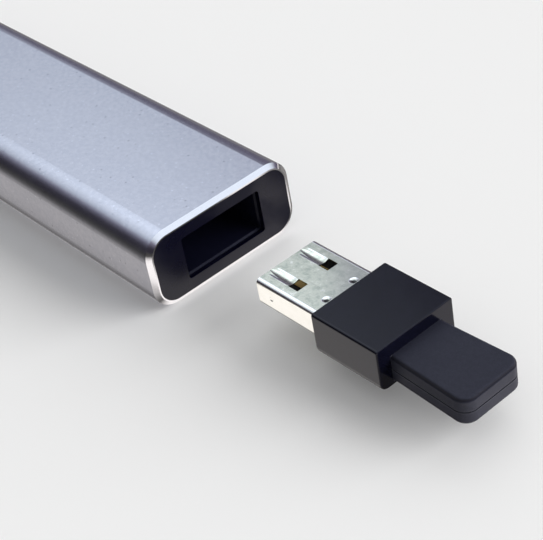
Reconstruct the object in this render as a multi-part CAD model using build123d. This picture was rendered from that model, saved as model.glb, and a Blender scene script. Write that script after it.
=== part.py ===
from build123d import *
import os

# Wireless presentation clicker. Millimetres, +X towards the laser nose, +Y to the left side
# (seen from the tail, keys up), +Z out of the key side. The origin is the middle of the flat
# underside. The receiver is drawn pulled out of its bay, as far behind the tail as it travels.

# Aluminium tube
case_width = 28.6
case_height = 13.8
case_corner_radius = 4.1
case_wall = 1.0
lip_bevel_radial = 0.75
lip_bevel_axial = 0.65
fixed_gap = 0.05
sliding_gap = 0.15

# Keys and their panel
bare_top_length = 72.0
bare_nose_length = 18.3
panel_end_margin = 1.6
panel_side_margin = 2.0
panel_corner_radius = 5.0
panel_flange_width = 1.2
panel_flange_thickness = 0.75
page_key_length = 13.0
page_key_width = 11.0
page_key_radius = 3.0
page_key_gap = 2.0
indicator_strip = 3.0
laser_key_diameter = 11.0
key_gap = 0.2
key_proud = 0.6
key_edge_radius = 0.45
key_skin = 1.1
key_flange_width = 0.6
key_flange_thickness = 0.7
key_flange_play = 0.1
key_travel = 0.3
key_stem_radius = 1.5
key_dish_depth = 0.3
chevron_length = 2.2
chevron_width = 4.2
chevron_stroke = 0.8
chevron_depth = 0.25
laser_ring_radius = 3.4
laser_ring_width = 0.5
laser_ring_depth = 0.25

# Circuit board and what it carries
board_thickness = 1.0
board_top_height = 8.4
board_side_gap = 1.8
board_tail_overhang = 6.5
board_nose_setback = 1.2
board_corner_radius = 1.5
board_screw_inset = 3.0
screw_radius = 0.75
screw_hole_radius = 0.85
screw_head_radius = 1.4
screw_head_height = 0.8
screw_length = 4.5
screw_slot = 0.35
switch_size = 4.5
switch_height = 1.6
plunger_radius = 0.8
plunger_gap = 0.06
plunger_length = 1.5
plunger_end_play = 0.15
chip_size = 5.0
chip_height = 0.9
chip_mark_radius = 0.4
chip_mark_inset = 0.9
crystal_length = 3.2
crystal_width = 2.5
crystal_height = 0.8
capacitor_length = 1.6
capacitor_width = 0.8
capacitor_pitch = 2.4
capacitors_in_a_row = 4
lamp_length = 1.6
lamp_width = 0.9
lamp_height = 0.7
light_pipe_radius = 0.6
light_pipe_foot_radius = 0.85
light_pipe_foot_height = 0.5

# Power switch, worked by a slider in the left side
power_travel = 2.0
power_slider_setback = 12.0
power_knob_length = 3.4
power_knob_height = 2.2
power_knob_proud = 0.6
power_knob_radius = 0.55
power_plate_margin = 1.6
power_plate_thickness = 0.8
power_plate_play = 0.25
power_rib_count = 3
power_rib_width = 0.35
power_rib_depth = 0.2
power_switch_length = 6.7
power_switch_width = 2.6
power_switch_height = 1.4
lever_length = 1.2
lever_height = 0.9
lever_gap = 0.08

# Charging port in the right side
port_width = 8.94
port_height = 3.16
port_depth = 7.3
port_skin = 0.3
port_slot_gap = 0.2
port_setback = 22.0
port_tongue_width = 6.7
port_tongue_thickness = 0.7
port_tongue_reach = 5.0

# Battery
cell_board_gap = 1.35
cell_width = 20.0
cell_thickness = 8.0
cell_corner_radius = 2.0
cell_edge_radius = 1.0
cell_end_play = 0.3
tape_thickness = 0.25
tape_margin = 3.0
protector_width = 16.0
protector_height = 4.0
protector_thickness = 0.8
lead_radius = 0.45
lead_spread = 10.0
lead_pitch = 1.4
lead_bend_radius = 0.9
connector_length = 3.4
connector_width = 5.0
connector_gap = 1.0

# Inner frame
frame_gap = 0.1
frame_wall = 1.2
frame_nose_setback = 5.6
frame_floor_slot_width = 8.0
frame_floor_slot_margin = 0.75
frame_floor_slots = 3
boss_radius = 2.0
rib_thickness = 1.0
cradle_gap = 0.05

# Laser
barrel_radius = 3.0
barrel_length = 12.0
barrel_bore_radius = 2.3
barrel_nose_setback = 4.6
barrel_groove_depth = 0.3
barrel_groove_width = 0.8
lens_radius = 2.6
lens_thickness = 1.2
lens_dome = 0.5
diode_flange_radius = 2.8
diode_flange_thickness = 1.0
diode_can_radius = 2.2
diode_can_length = 2.6
diode_leg_radius = 0.25
diode_leg_spread = 2.54
diode_leg_overlap = 1.1

# End caps
tail_plate_thickness = 1.1
skirt_wall = 1.0
tail_skirt_depth = 3.4
nose_plate_thickness = 1.6
nose_skirt_depth = 3.4
nose_hole_radius = 2.4
nose_cone_radius = 3.4
nose_cone_depth = 0.8
window_radius = 3.5

# Receiver bay, reached through the tail plate
bay_mouth_margin = 0.4
bay_mouth_radius = 0.5
bay_mouth_lip = 0.5
bay_mouth_relief = 0.7
bay_mouth_bevel = 0.25
bay_side_gap = 0.25
bay_end_gap = 0.3
bay_wall = 1.2
bay_lead_in = 0.6
bay_flange_thickness = 1.2
bay_collar_thickness = 1.2
bay_collar_setback = 2.0
plug_bay_gap = 0.35
magnet_length = 10.0
magnet_height = 4.0
magnet_thickness = 0.9

# Receiver plug
plug_width = 12.0
plug_height = 4.5
plug_skin = 0.32
plug_corner_radius = 0.7
plug_exposed_length = 13.7
plug_root_depth = 4.0
plug_tip_bevel = 0.15
plug_seam = 0.12
plug_window_start = 5.1
plug_window_length = 2.0
plug_window_inset = 1.95
plug_window_width = 2.1
plug_ramp_radius = 2.4
plug_ramp_depth = 0.2
plug_dimple_start = 11.8
plug_dimple_spread = 5.4
plug_dimple_radius = 0.7
plug_dimple_depth = 0.26
plug_side_mark_start = 3.1
plug_side_mark_radius = 0.4
plug_side_mark_depth = 0.12
tongue_thickness = 1.84
tongue_setback = 0.4
tongue_gap = 0.02
contact_width = 1.0
contact_thickness = 0.25
contact_sink = 0.15
data_contact_offset = 1.0
power_contact_offset = 3.5
power_contact_setback = 1.3
data_contact_setback = 2.3

# Receiver block
block_length = 13.1
block_width = 14.8
block_height = 7.35
block_top_radius = 0.4
block_bottom_radius = 1.4
block_rim_radius = 0.25
block_wall = 0.9
block_rear_wall = 1.2
block_face_thickness = 1.2
receiver_gap = 14.8
receiver_board_thickness = 0.8
receiver_board_length = 6.2
receiver_board_play = 0.1
receiver_chip_size = 4.0
receiver_chip_height = 0.85
receiver_rail_width = 0.6

# Grip tab behind the block
grip_length = 14.2
grip_root_width = 10.1
grip_end_width = 11.4
grip_thickness = 4.6
grip_drop = 0.85
grip_end_radius = 2.1
grip_top_radius = 0.6
grip_bottom_radius = 0.7
grip_skin = 1.2
grip_seam_width = 0.24
grip_seam_depth = 0.18
grip_anchor_margin = 0.7
grip_anchor_length = 1.5
grip_pin_radius = 0.6
grip_pin_length = 0.8
grip_pin_spread = 5.0
grip_pin_gap = 0.05

# Places worked out from the sizes above
panel_length = (
    2 * panel_end_margin + 2 * page_key_length + page_key_gap + indicator_strip
    + laser_key_diameter
)
case_length = bare_top_length + panel_length + bare_nose_length
tail_x = -case_length / 2
nose_x = case_length / 2
mid_z = case_height / 2
bore_width = case_width - 2 * case_wall
bore_radius = case_corner_radius - case_wall

panel_x0 = tail_x + bare_top_length
page_down_x = panel_x0 + panel_end_margin + page_key_length / 2
page_up_x = page_down_x + page_key_length + page_key_gap
lamp_x = page_up_x + page_key_length / 2 + indicator_strip / 2
laser_key_x = lamp_x + indicator_strip / 2 + laser_key_diameter / 2
panel_x1 = panel_x0 + panel_length
panel_mid_x = (panel_x0 + panel_x1) / 2
panel_width = page_key_width + 2 * panel_side_margin
panel_under_z = case_height - case_wall - fixed_gap - panel_flange_thickness
connector_height = panel_under_z - connector_gap - board_top_height
key_flange_top_z = panel_under_z - key_flange_play
key_flange_under_z = key_flange_top_z - key_flange_thickness
key_top_z = case_height + key_proud

plunger_proud = key_travel + plunger_end_play
switch_bore_depth = plunger_length

board_x0 = panel_x0 - board_tail_overhang
board_x1 = panel_x1 - board_nose_setback
board_mid_x = (board_x0 + board_x1) / 2
board_width = bore_width - 2 * board_side_gap
board_under_z = board_top_height - board_thickness
screw_places = [
    (x, y)
    for x in (board_x0 + board_screw_inset, board_x1 - board_screw_inset)
    for y in (board_width / 2 - board_screw_inset, board_screw_inset - board_width / 2)
]

side_inner_y = bore_width / 2
side_outer_y = case_width / 2
power_x = panel_x0 + power_slider_setback
power_z = board_under_z - power_switch_height / 2
power_plate_outer_y = side_inner_y - power_plate_play
power_plate_inner_y = power_plate_outer_y - power_plate_thickness
port_x = panel_x0 + port_setback
port_z = board_under_z - port_height / 2
port_mouth_y = -(side_inner_y - frame_gap)

travel = receiver_gap + plug_exposed_length + block_length
block_rear_x = tail_x - travel
block_front_x = block_rear_x + block_length
plug_tip_x = block_front_x + plug_exposed_length
grip_mid_z = mid_z - grip_drop
tongue_top_z = mid_z - plug_height / 2 + plug_skin + tongue_gap + tongue_thickness
receiver_board_top_z = tongue_top_z - contact_sink

bay_width = block_width + 2 * bay_side_gap
bay_height = block_height + bay_side_gap
plug_bay_width = plug_width + 2 * plug_bay_gap
plug_bay_height = plug_height + 2 * plug_bay_gap
bay_front_x = tail_x + tail_plate_thickness + fixed_gap
bay_step_x = tail_x + block_length + bay_end_gap
plug_bay_end_x = tail_x + block_length + plug_exposed_length + bay_end_gap
bay_end_x = plug_bay_end_x + bay_wall + magnet_thickness / 2

frame_x0 = bay_end_x + frame_gap
frame_x1 = nose_x - frame_nose_setback
frame_floor_z = case_wall + frame_gap + frame_wall
cell_x0 = frame_x0 + rib_thickness + cell_end_play
cell_x1 = board_x0 - cell_board_gap
cell_length = cell_x1 - cell_x0
floor_slot_room = cell_length - 2 * frame_floor_slot_margin + rib_thickness
floor_slot_pitch = floor_slot_room / frame_floor_slots
barrel_x1 = nose_x - barrel_nose_setback
barrel_x0 = barrel_x1 - barrel_length
connector_x0 = board_x0 + connector_length


def along_x(sketch, x0, x1):
    """Extrudes a sketch, drawn as (Y, Z), from one X to another."""
    return extrude(Plane.YZ.offset(x0) * sketch, x1 - x0)


def across_y(sketch, y0, y1):
    """Extrudes a sketch, drawn as (X, Z), from one Y to another."""
    return extrude(Plane.XZ.offset(-y1) * sketch, y1 - y0)


def bar(x0, x1, y0, y1, z0, z1):
    """A plain bar between two corners."""
    middle = ((x0 + x1) / 2, (y0 + y1) / 2, (z0 + z1) / 2)
    return Pos(*middle) * Box(x1 - x0, y1 - y0, z1 - z0)


def disc(radius, x0, x1, y=0.0, z=mid_z):
    """A round bar along X."""
    return along_x(Pos(y, z) * Circle(radius), x0, x1)


def post(radius, x, y, z0, z1):
    """A round bar along Z."""
    return Pos(x, y, (z0 + z1) / 2) * Cylinder(radius, z1 - z0)


def rounded_plate(length, width, radius, x, z0, z1, y=0.0):
    """A flat plate with rounded corners, lying at a place on the X axis."""
    return extrude(Pos(x, y, z0) * RectangleRounded(length, width, radius), z1 - z0)


def case_profile(inset, radius):
    """The tube's outline, or one set in from it."""
    outline = RectangleRounded(case_width - 2 * inset, case_height - 2 * inset, radius)
    return Pos(0, mid_z) * outline


def bore_profile(gap):
    """The tube's inner outline, less a gap all round."""
    return case_profile(case_wall + gap, bore_radius - gap)


def make_body_tube():
    """Extruded tube with bevelled lips, the panel window, the slider's slot and the port's slot."""
    outer = along_x(case_profile(0, case_corner_radius), tail_x, nose_x)
    for end in (Axis.X, -Axis.X):
        rim = outer.faces().sort_by(end)[-1]
        outer = chamfer(rim.edges(), lip_bevel_radial, lip_bevel_axial, reference=rim)
    tube = outer - along_x(bore_profile(0), tail_x, nose_x)
    tube -= rounded_plate(
        panel_length, panel_width, panel_corner_radius, panel_mid_x, mid_z, case_height
    )
    slot_length = power_knob_length + power_travel + 2 * sliding_gap
    slot_height = power_knob_height + 2 * sliding_gap
    slot = RectangleRounded(slot_length, slot_height, power_knob_radius + sliding_gap)
    tube -= across_y(
        Pos(power_x + power_travel / 2, power_z) * slot, side_inner_y, side_outer_y
    )
    port_slot = SlotOverall(port_width + 2 * port_slot_gap, port_height + 2 * port_slot_gap)
    tube -= across_y(Pos(port_x, port_z) * port_slot, -side_outer_y, -side_inner_y)
    return tube


def make_tail_cap():
    """Flush end plate with the bay's mouth, and a skirt that plugs into the tube."""
    plate_x1 = tail_x + tail_plate_thickness
    plate = along_x(bore_profile(fixed_gap), tail_x, plate_x1)
    skirt = along_x(bore_profile(fixed_gap), plate_x1, plate_x1 + tail_skirt_depth)
    skirt -= along_x(
        bore_profile(fixed_gap + skirt_wall), plate_x1, plate_x1 + tail_skirt_depth
    )
    mouth_width, mouth_height = block_width + 2 * bay_mouth_margin, block_height + bay_mouth_margin
    mouth = Pos(0, mid_z) * RectangleRounded(mouth_width, mouth_height, bay_mouth_radius)
    relief = Pos(0, mid_z) * RectangleRounded(
        mouth_width + 2 * bay_mouth_relief, mouth_height + 2 * bay_mouth_relief,
        bay_mouth_radius + bay_mouth_relief,
    )
    cap = plate + skirt - along_x(mouth, tail_x, plate_x1)
    return cap - along_x(relief, tail_x + bay_mouth_lip, plate_x1)


def flare(width, height, x, amount):
    """The lead-in of a rectangular bay, wider at its tail end."""
    return loft([
        Plane.YZ.offset(x) * Pos(0, mid_z) * Rectangle(width + 2 * amount, height + 2 * amount),
        Plane.YZ.offset(x + amount) * Pos(0, mid_z) * Rectangle(width, height),
    ])


def make_receiver_tray():
    """Stepped sleeve behind the tail plate: a wide bay for the block, a narrow one for the plug."""
    flange_x1 = bay_front_x + bay_flange_thickness
    flange = along_x(bore_profile(skirt_wall + 2 * fixed_gap), bay_front_x, flange_x1)
    wide = RectangleRounded(bay_width + 2 * bay_wall, bay_height + 2 * bay_wall, bay_wall)
    narrow = RectangleRounded(
        plug_bay_width + 2 * bay_wall, plug_bay_height + 2 * bay_wall, bay_wall
    )
    outside = along_x(Pos(0, mid_z) * wide, bay_front_x, bay_step_x + bay_wall)
    outside += along_x(Pos(0, mid_z) * narrow, bay_step_x, bay_end_x)
    outside &= along_x(bore_profile(skirt_wall + 2 * fixed_gap), bay_front_x, bay_end_x)
    collar_x1 = bay_end_x - bay_collar_setback
    collar = along_x(bore_profile(frame_gap), collar_x1 - bay_collar_thickness, collar_x1)
    tray = flange + outside + collar
    block_bay = Pos(0, mid_z) * Rectangle(bay_width, bay_height)
    tray -= along_x(block_bay, bay_front_x, bay_step_x)
    plug_bay = Pos(0, mid_z) * Rectangle(plug_bay_width, plug_bay_height)
    tray -= along_x(plug_bay, bay_step_x, plug_bay_end_x)
    tray -= flare(bay_width, bay_height, bay_front_x, bay_mouth_bevel)
    tray -= flare(plug_bay_width, plug_bay_height, bay_step_x, bay_lead_in)
    return tray - magnet_bar(fixed_gap)


def magnet_bar(gap):
    """The magnet's bar, or its pocket, sunk into the far end of the bay from behind."""
    return bar(
        bay_end_x - magnet_thickness - gap, bay_end_x,
        -magnet_length / 2 - gap, magnet_length / 2 + gap,
        mid_z - magnet_height / 2 - gap, mid_z + magnet_height / 2 + gap,
    )


def make_inner_frame():
    """Moulded channel with a battery well, board bosses and the laser's cradle."""
    outside = along_x(bore_profile(frame_gap), frame_x0, frame_x1)
    inside = along_x(bore_profile(frame_gap + frame_wall), frame_x0, frame_x1)
    frame = outside - inside
    frame -= bar(
        frame_x0, frame_x1, -side_outer_y, side_outer_y, board_under_z, case_height
    )
    below = bar(frame_x0, frame_x1, -side_outer_y, side_outer_y, 0, board_under_z)
    channel = outside & below
    for x in (frame_x0, cell_x1 + protector_thickness + 2 * cell_end_play):
        frame += channel & bar(
            x, x + rib_thickness, -side_outer_y, side_outer_y, 0, board_under_z
        )
    for x in (barrel_x0 + rib_thickness, barrel_x1 - 2 * rib_thickness):
        rib = bar(x, x + rib_thickness, -side_outer_y, side_outer_y, 0, mid_z)
        frame += (channel & rib) - disc(barrel_radius + cradle_gap, x, x + rib_thickness)
    for x, y in screw_places:
        frame += post(boss_radius, x, y, frame_floor_z - frame_wall / 2, board_under_z)
    for x, y in screw_places:
        frame -= post(screw_hole_radius, x, y, frame_floor_z, board_under_z)
    for step in range(frame_floor_slots):
        x = cell_x0 + frame_floor_slot_margin - rib_thickness / 2 + (step + 0.5) * floor_slot_pitch
        frame -= rounded_plate(
            floor_slot_pitch - rib_thickness, frame_floor_slot_width, rib_thickness,
            x, 0, frame_floor_z,
        )
    for x, y, length in (
        (power_x + power_travel / 2, side_inner_y, power_knob_length + 2 * power_plate_margin),
        (port_x, -side_inner_y, port_width),
    ):
        half = length / 2 + power_travel
        frame -= bar(
            x - half, x + half, y - 2 * frame_wall, y + 2 * frame_wall,
            frame_floor_z, board_under_z,
        )
    return frame


def make_receiver_magnet():
    """Small bar magnet that draws the steel plug in."""
    return magnet_bar(0)


def make_battery_cell():
    """Flat pouch cell with rounded ends."""
    z0 = frame_floor_z + tape_thickness
    cell = rounded_plate(
        cell_length, cell_width, cell_corner_radius, (cell_x0 + cell_x1) / 2,
        z0, z0 + cell_thickness,
    )
    return fillet(cell.edges().filter_by(Axis.Z, reverse=True), cell_edge_radius)


def make_battery_tape():
    """Double-sided pad that holds the cell to the frame."""
    return bar(
        cell_x0 + tape_margin, cell_x1 - tape_margin,
        tape_margin - cell_width / 2, cell_width / 2 - tape_margin,
        frame_floor_z, frame_floor_z + tape_thickness,
    )


def make_cell_protector():
    """Upright protection board on the cell's nose end."""
    z0 = mid_z - protector_height / 2
    return bar(
        cell_x1 + fixed_gap, cell_x1 + fixed_gap + protector_thickness,
        -protector_width / 2, protector_width / 2, z0, z0 + protector_height + board_thickness,
    )


def make_battery_leads():
    """Two insulated wires from the protection board to the connector."""
    leads = []
    start_x = cell_x1 + fixed_gap + protector_thickness
    wire_z = board_top_height + connector_height / 2
    turn_x = (start_x + connector_x0) / 2
    for side in (1, -1):
        route = FilletPolyline(
            (start_x, side * lead_spread / 2, wire_z),
            (turn_x, side * lead_spread / 2, wire_z),
            (turn_x, side * lead_pitch / 2, wire_z),
            (connector_x0, side * lead_pitch / 2, wire_z),
            radius=lead_bend_radius,
        )
        section = Plane(route @ 0, z_dir=route % 0) * Circle(lead_radius)
        leads.append(sweep(section, path=route).solid())
    return Compound(leads)


def make_battery_connector():
    """Board connector with its wire entries facing the battery."""
    body = bar(
        connector_x0, connector_x0 + connector_length,
        -connector_width / 2, connector_width / 2,
        board_top_height, board_top_height + connector_height,
    )
    return chamfer(body.edges().filter_by(Axis.Y).group_by(Axis.Z)[-1], lead_radius)


def make_main_board():
    """Circuit board under the keys, on four screws."""
    board = rounded_plate(
        board_x1 - board_x0, board_width, board_corner_radius, board_mid_x,
        board_under_z, board_top_height,
    )
    for x, y in screw_places:
        board -= post(screw_hole_radius, x, y, board_under_z, board_top_height)
    return board


def make_board_screws():
    """Four pan-head screws with a slot."""
    screws = []
    for x, y in screw_places:
        top = board_top_height + screw_head_height
        screw = post(screw_head_radius, x, y, board_top_height, top)
        screw = fillet(screw.edges().group_by(Axis.Z)[-1], screw_slot)
        screw += post(screw_radius, x, y, board_top_height - screw_length, board_top_height)
        slot_x = (x - screw_head_radius, x + screw_head_radius)
        screw -= bar(*slot_x, y - screw_slot / 2, y + screw_slot / 2, top - screw_slot, top)
        screws.append(screw.solid())
    return Compound(screws)


def make_tact_switches():
    """A push switch under each key, bored for its plunger."""
    switches = []
    top = board_top_height + switch_height
    for x in (page_down_x, page_up_x, laser_key_x):
        body = rounded_plate(
            switch_size, switch_size, screw_slot, x, board_top_height, top
        )
        bore = post(plunger_radius + plunger_gap, x, 0, top - switch_bore_depth, top)
        switches.append((body - bore).solid())
    return Compound(switches)


def make_plunger(x):
    """The moving pin of a push switch."""
    top = board_top_height + switch_height + plunger_proud
    return post(plunger_radius, x, 0, top - plunger_length, top)


def make_radio_chip():
    """Radio chip under the board."""
    chip = bar(
        lamp_x - chip_size / 2, lamp_x + chip_size / 2, -chip_size / 2, chip_size / 2,
        board_under_z - chip_height, board_under_z,
    )
    mark_y = chip_size / 2 - chip_mark_inset
    mark_z = board_under_z - chip_height
    return chip - post(chip_mark_radius, lamp_x - mark_y, mark_y, mark_z, mark_z + fixed_gap)


def make_radio_crystal():
    """Metal-lidded crystal beside the radio chip."""
    x = lamp_x + chip_size
    can = rounded_plate(
        crystal_length, crystal_width, screw_slot, x,
        board_under_z - crystal_height, board_under_z,
    )
    return fillet(can.edges().group_by(Axis.Z)[0], sliding_gap)


def make_board_capacitors():
    """Two rows of small capacitors under the board."""
    capacitors = []
    for y in (chip_size / 2, -chip_size / 2):
        for step in range(capacitors_in_a_row):
            x = page_down_x + step * capacitor_pitch
            capacitors.append(bar(
                x - capacitor_length / 2, x + capacitor_length / 2,
                y - capacitor_width / 2, y + capacitor_width / 2,
                board_under_z - capacitor_width, board_under_z,
            ).solid())
    return Compound(capacitors)


def make_status_lamp():
    """Small lamp on the board, under the light pipe."""
    return bar(
        lamp_x - lamp_width / 2, lamp_x + lamp_width / 2, -lamp_length / 2, lamp_length / 2,
        board_top_height, board_top_height + lamp_height,
    )


def make_light_pipe():
    """Clear pin from the lamp up through the panel, with a foot under it."""
    pipe = post(light_pipe_radius, lamp_x, 0,
                board_top_height + lamp_height + fixed_gap, case_height)
    foot_z1 = panel_under_z
    return pipe + post(
        light_pipe_foot_radius, lamp_x, 0, foot_z1 - light_pipe_foot_height, foot_z1
    )


def make_key_panel():
    """Flush plastic panel with the key openings, held by a flange inside the tube."""
    plate = rounded_plate(
        panel_length - 2 * fixed_gap, panel_width - 2 * fixed_gap,
        panel_corner_radius - fixed_gap, panel_mid_x, panel_under_z, case_height,
    )
    plate += rounded_plate(
        panel_length + 2 * panel_flange_width, panel_width + 2 * panel_flange_width,
        panel_corner_radius, panel_mid_x,
        panel_under_z, panel_under_z + panel_flange_thickness,
    )
    for x in (page_down_x, page_up_x):
        plate -= rounded_plate(
            page_key_length, page_key_width, page_key_radius, x, panel_under_z, case_height
        )
    plate -= post(laser_key_diameter / 2, laser_key_x, 0, panel_under_z, case_height)
    plate -= post(light_pipe_radius + fixed_gap, lamp_x, 0, panel_under_z, case_height)
    return plate


def finish_key(cap, flange, hollow, x):
    """Rounds a key's crown, then adds its flange, its hollow underside and its stem."""
    cap = fillet(cap.edges().group_by(Axis.Z)[-1], key_edge_radius)
    stem_z0 = board_top_height + switch_height + plunger_proud
    return cap + flange - hollow + post(key_stem_radius, x, 0, stem_z0, key_top_z - key_skin)


def make_page_key(x, heading):
    """Rounded key with a shallow finger dish and an arrowhead pressed into it."""
    length, width = page_key_length - 2 * key_gap, page_key_width - 2 * key_gap
    radius = page_key_radius - key_gap
    cap = rounded_plate(length, width, radius, x, key_flange_under_z, key_top_z)
    flange = rounded_plate(
        length + 2 * key_flange_width, width + 2 * key_flange_width,
        radius + key_flange_width, x, key_flange_under_z, key_flange_top_z,
    )
    hollow = rounded_plate(
        length - 2 * key_skin, width - 2 * key_skin, radius - key_skin,
        x, key_flange_under_z, key_top_z - key_skin,
    )
    key = finish_key(cap, flange, hollow, x)
    dish_half = width / 2 - key_edge_radius
    dish_radius = (dish_half**2 + key_dish_depth**2) / (2 * key_dish_depth)
    key -= Pos(x, 0, key_top_z + dish_radius - key_dish_depth) * Sphere(dish_radius)
    arrow = Polyline(
        (x - heading * chevron_length / 2, chevron_width / 2),
        (x + heading * chevron_length / 2, 0),
        (x - heading * chevron_length / 2, -chevron_width / 2),
    )
    stroke = trace(arrow, chevron_stroke)
    floor = key_top_z - key_dish_depth - chevron_depth
    return key - extrude(Pos(0, 0, floor) * stroke, key_dish_depth + chevron_depth)


def make_laser_key(x):
    """Round key with a ring pressed into its crown."""
    radius = laser_key_diameter / 2 - key_gap
    cap = post(radius, x, 0, key_flange_under_z, key_top_z)
    flange = post(radius + key_flange_width, x, 0, key_flange_under_z, key_flange_top_z)
    hollow = post(radius - key_skin, x, 0, key_flange_under_z, key_top_z - key_skin)
    key = finish_key(cap, flange, hollow, x)
    floor = key_top_z - laser_ring_depth
    ring = post(laser_ring_radius, x, 0, floor, key_top_z)
    return key - (ring - post(laser_ring_radius - laser_ring_width, x, 0, floor, key_top_z))


def make_power_switch():
    """Slide switch under the board's left edge, slotted for its lever."""
    body = bar(
        power_x + power_travel / 2 - power_switch_length / 2,
        power_x + power_travel / 2 + power_switch_length / 2,
        board_width / 2 - power_switch_width, board_width / 2,
        board_under_z - power_switch_height, board_under_z,
    )
    return body - bar(
        power_x - lever_length / 2 - lever_gap,
        power_x + power_travel + lever_length / 2 + lever_gap,
        board_width / 2 - power_switch_width / 2, board_width / 2,
        power_z - lever_height / 2 - lever_gap, power_z + lever_height / 2 + lever_gap,
    )


def make_power_lever():
    """The switch's lever, which reaches into the slider."""
    return bar(
        power_x - lever_length / 2, power_x + lever_length / 2,
        board_width / 2 - power_switch_width / 2 + lever_gap,
        power_plate_inner_y + power_plate_thickness / 2,
        power_z - lever_height / 2, power_z + lever_height / 2,
    )


def make_power_slider():
    """Ribbed thumb slider with a plate that runs behind the tube's wall."""
    knob = across_y(
        Pos(power_x, power_z) * RectangleRounded(
            power_knob_length, power_knob_height, power_knob_radius
        ),
        power_plate_outer_y, side_outer_y + power_knob_proud,
    )
    knob = fillet(knob.edges().group_by(Axis.Y)[-1], sliding_gap)
    plate = across_y(
        Pos(power_x, power_z) * RectangleRounded(
            power_knob_length + 2 * power_plate_margin,
            power_knob_height + power_plate_margin,
            power_knob_radius,
        ),
        power_plate_inner_y, power_plate_outer_y,
    )
    slider = knob + plate - across_y(
        Pos(power_x, power_z) * Rectangle(
            lever_length + 2 * fixed_gap, lever_height + 2 * fixed_gap
        ),
        power_plate_inner_y, power_plate_inner_y + power_plate_thickness / 2 + fixed_gap,
    )
    pitch = (power_knob_length - 2 * sliding_gap) / (power_rib_count + 1)
    for step in range(power_rib_count):
        x = power_x + (step - (power_rib_count - 1) / 2) * pitch
        slider -= bar(
            x - power_rib_width / 2, x + power_rib_width / 2,
            side_outer_y + power_knob_proud - power_rib_depth, side_outer_y + power_knob_proud,
            power_z - power_knob_height / 2, power_z + power_knob_height / 2,
        )
    return slider


def make_port_shell():
    """Drawn metal shell of the charging port, closed behind."""
    mouth = Pos(port_x, port_z) * SlotOverall(port_width, port_height)
    hollow = Pos(port_x, port_z) * SlotOverall(
        port_width - 2 * port_skin, port_height - 2 * port_skin
    )
    shell = across_y(mouth, port_mouth_y, port_mouth_y + port_depth)
    return shell - across_y(hollow, port_mouth_y, port_mouth_y + port_depth - port_skin)


def make_port_tongue():
    """Contact tongue of the charging port on its moulded base."""
    root_y = port_mouth_y + port_depth - port_skin - fixed_gap
    base = Pos(port_x, port_z) * SlotOverall(
        port_width - 2 * port_skin - 2 * fixed_gap, port_height - 2 * port_skin - 2 * fixed_gap
    )
    base_y = port_mouth_y + port_tongue_reach + board_thickness
    tongue = across_y(base, base_y, root_y)
    return tongue + bar(
        port_x - port_tongue_width / 2, port_x + port_tongue_width / 2,
        port_mouth_y + board_thickness, base_y,
        port_z - port_tongue_thickness / 2, port_z + port_tongue_thickness / 2,
    )


def make_laser_barrel():
    """Turned sleeve with grip grooves, bored through and counterbored for the lens."""
    barrel = disc(barrel_radius, barrel_x0, barrel_x1)
    barrel = chamfer(barrel.edges(), barrel_groove_depth)
    barrel -= disc(barrel_bore_radius, barrel_x0, barrel_x1)
    barrel -= disc(lens_radius + fixed_gap, barrel_x1 - lens_thickness - lens_dome, barrel_x1)
    for step in (-1, 1):
        x = (barrel_x0 + barrel_x1) / 2 + step * barrel_groove_width
        groove = disc(barrel_radius, x, x + barrel_groove_width)
        core = disc(barrel_radius - barrel_groove_depth, x, x + barrel_groove_width)
        barrel -= groove - core
    return barrel


def make_laser_lens():
    """Domed lens in the barrel's mouth."""
    x0 = barrel_x1 - lens_thickness - lens_dome
    lens = disc(lens_radius, x0, x0 + lens_thickness + lens_dome)
    dome_radius = (lens_radius**2 + lens_dome**2) / (2 * lens_dome)
    centre_x = barrel_x1 - dome_radius
    return lens & (Pos(centre_x, 0, mid_z) * Sphere(dome_radius))


def make_laser_diode():
    """Diode can behind the barrel, with its legs soldered under the board."""
    flange_x0 = barrel_x0 - diode_flange_thickness
    diode = disc(diode_flange_radius, flange_x0, barrel_x0)
    diode += disc(diode_can_radius, barrel_x0, barrel_x0 + diode_can_length)
    leg_z = board_under_z - diode_leg_radius - fixed_gap
    for side in (1, -1):
        y = side * diode_leg_spread / 2
        diode += disc(diode_leg_radius, board_x1 - diode_leg_overlap, flange_x0, y, leg_z)
    return diode


def make_nose_cap():
    """Flush nose plate with a coned laser hole, and a skirt that plugs into the tube."""
    plate_x0 = nose_x - nose_plate_thickness
    cap = along_x(bore_profile(fixed_gap), plate_x0 - nose_skirt_depth, nose_x)
    cap -= along_x(
        bore_profile(fixed_gap + skirt_wall), plate_x0 - nose_skirt_depth, plate_x0
    )
    cap -= disc(nose_hole_radius, plate_x0, nose_x)
    cap -= loft([
        Plane.YZ.offset(nose_x - nose_cone_depth) * Pos(0, mid_z) * Circle(nose_hole_radius),
        Plane.YZ.offset(nose_x) * Pos(0, mid_z) * Circle(nose_cone_radius),
    ])
    return cap - disc(window_radius + fixed_gap, plate_x0, nose_x - nose_cone_depth)


def make_nose_window():
    """Clear disc behind the laser hole."""
    x0 = nose_x - nose_plate_thickness
    return disc(window_radius, x0, nose_x - nose_cone_depth - fixed_gap)


def plug_profile(inset):
    """The plug's outline, or one set in from it."""
    return Pos(0, mid_z) * RectangleRounded(
        plug_width - 2 * inset, plug_height - 2 * inset,
        max(plug_corner_radius - inset, plug_skin),
    )


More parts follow.
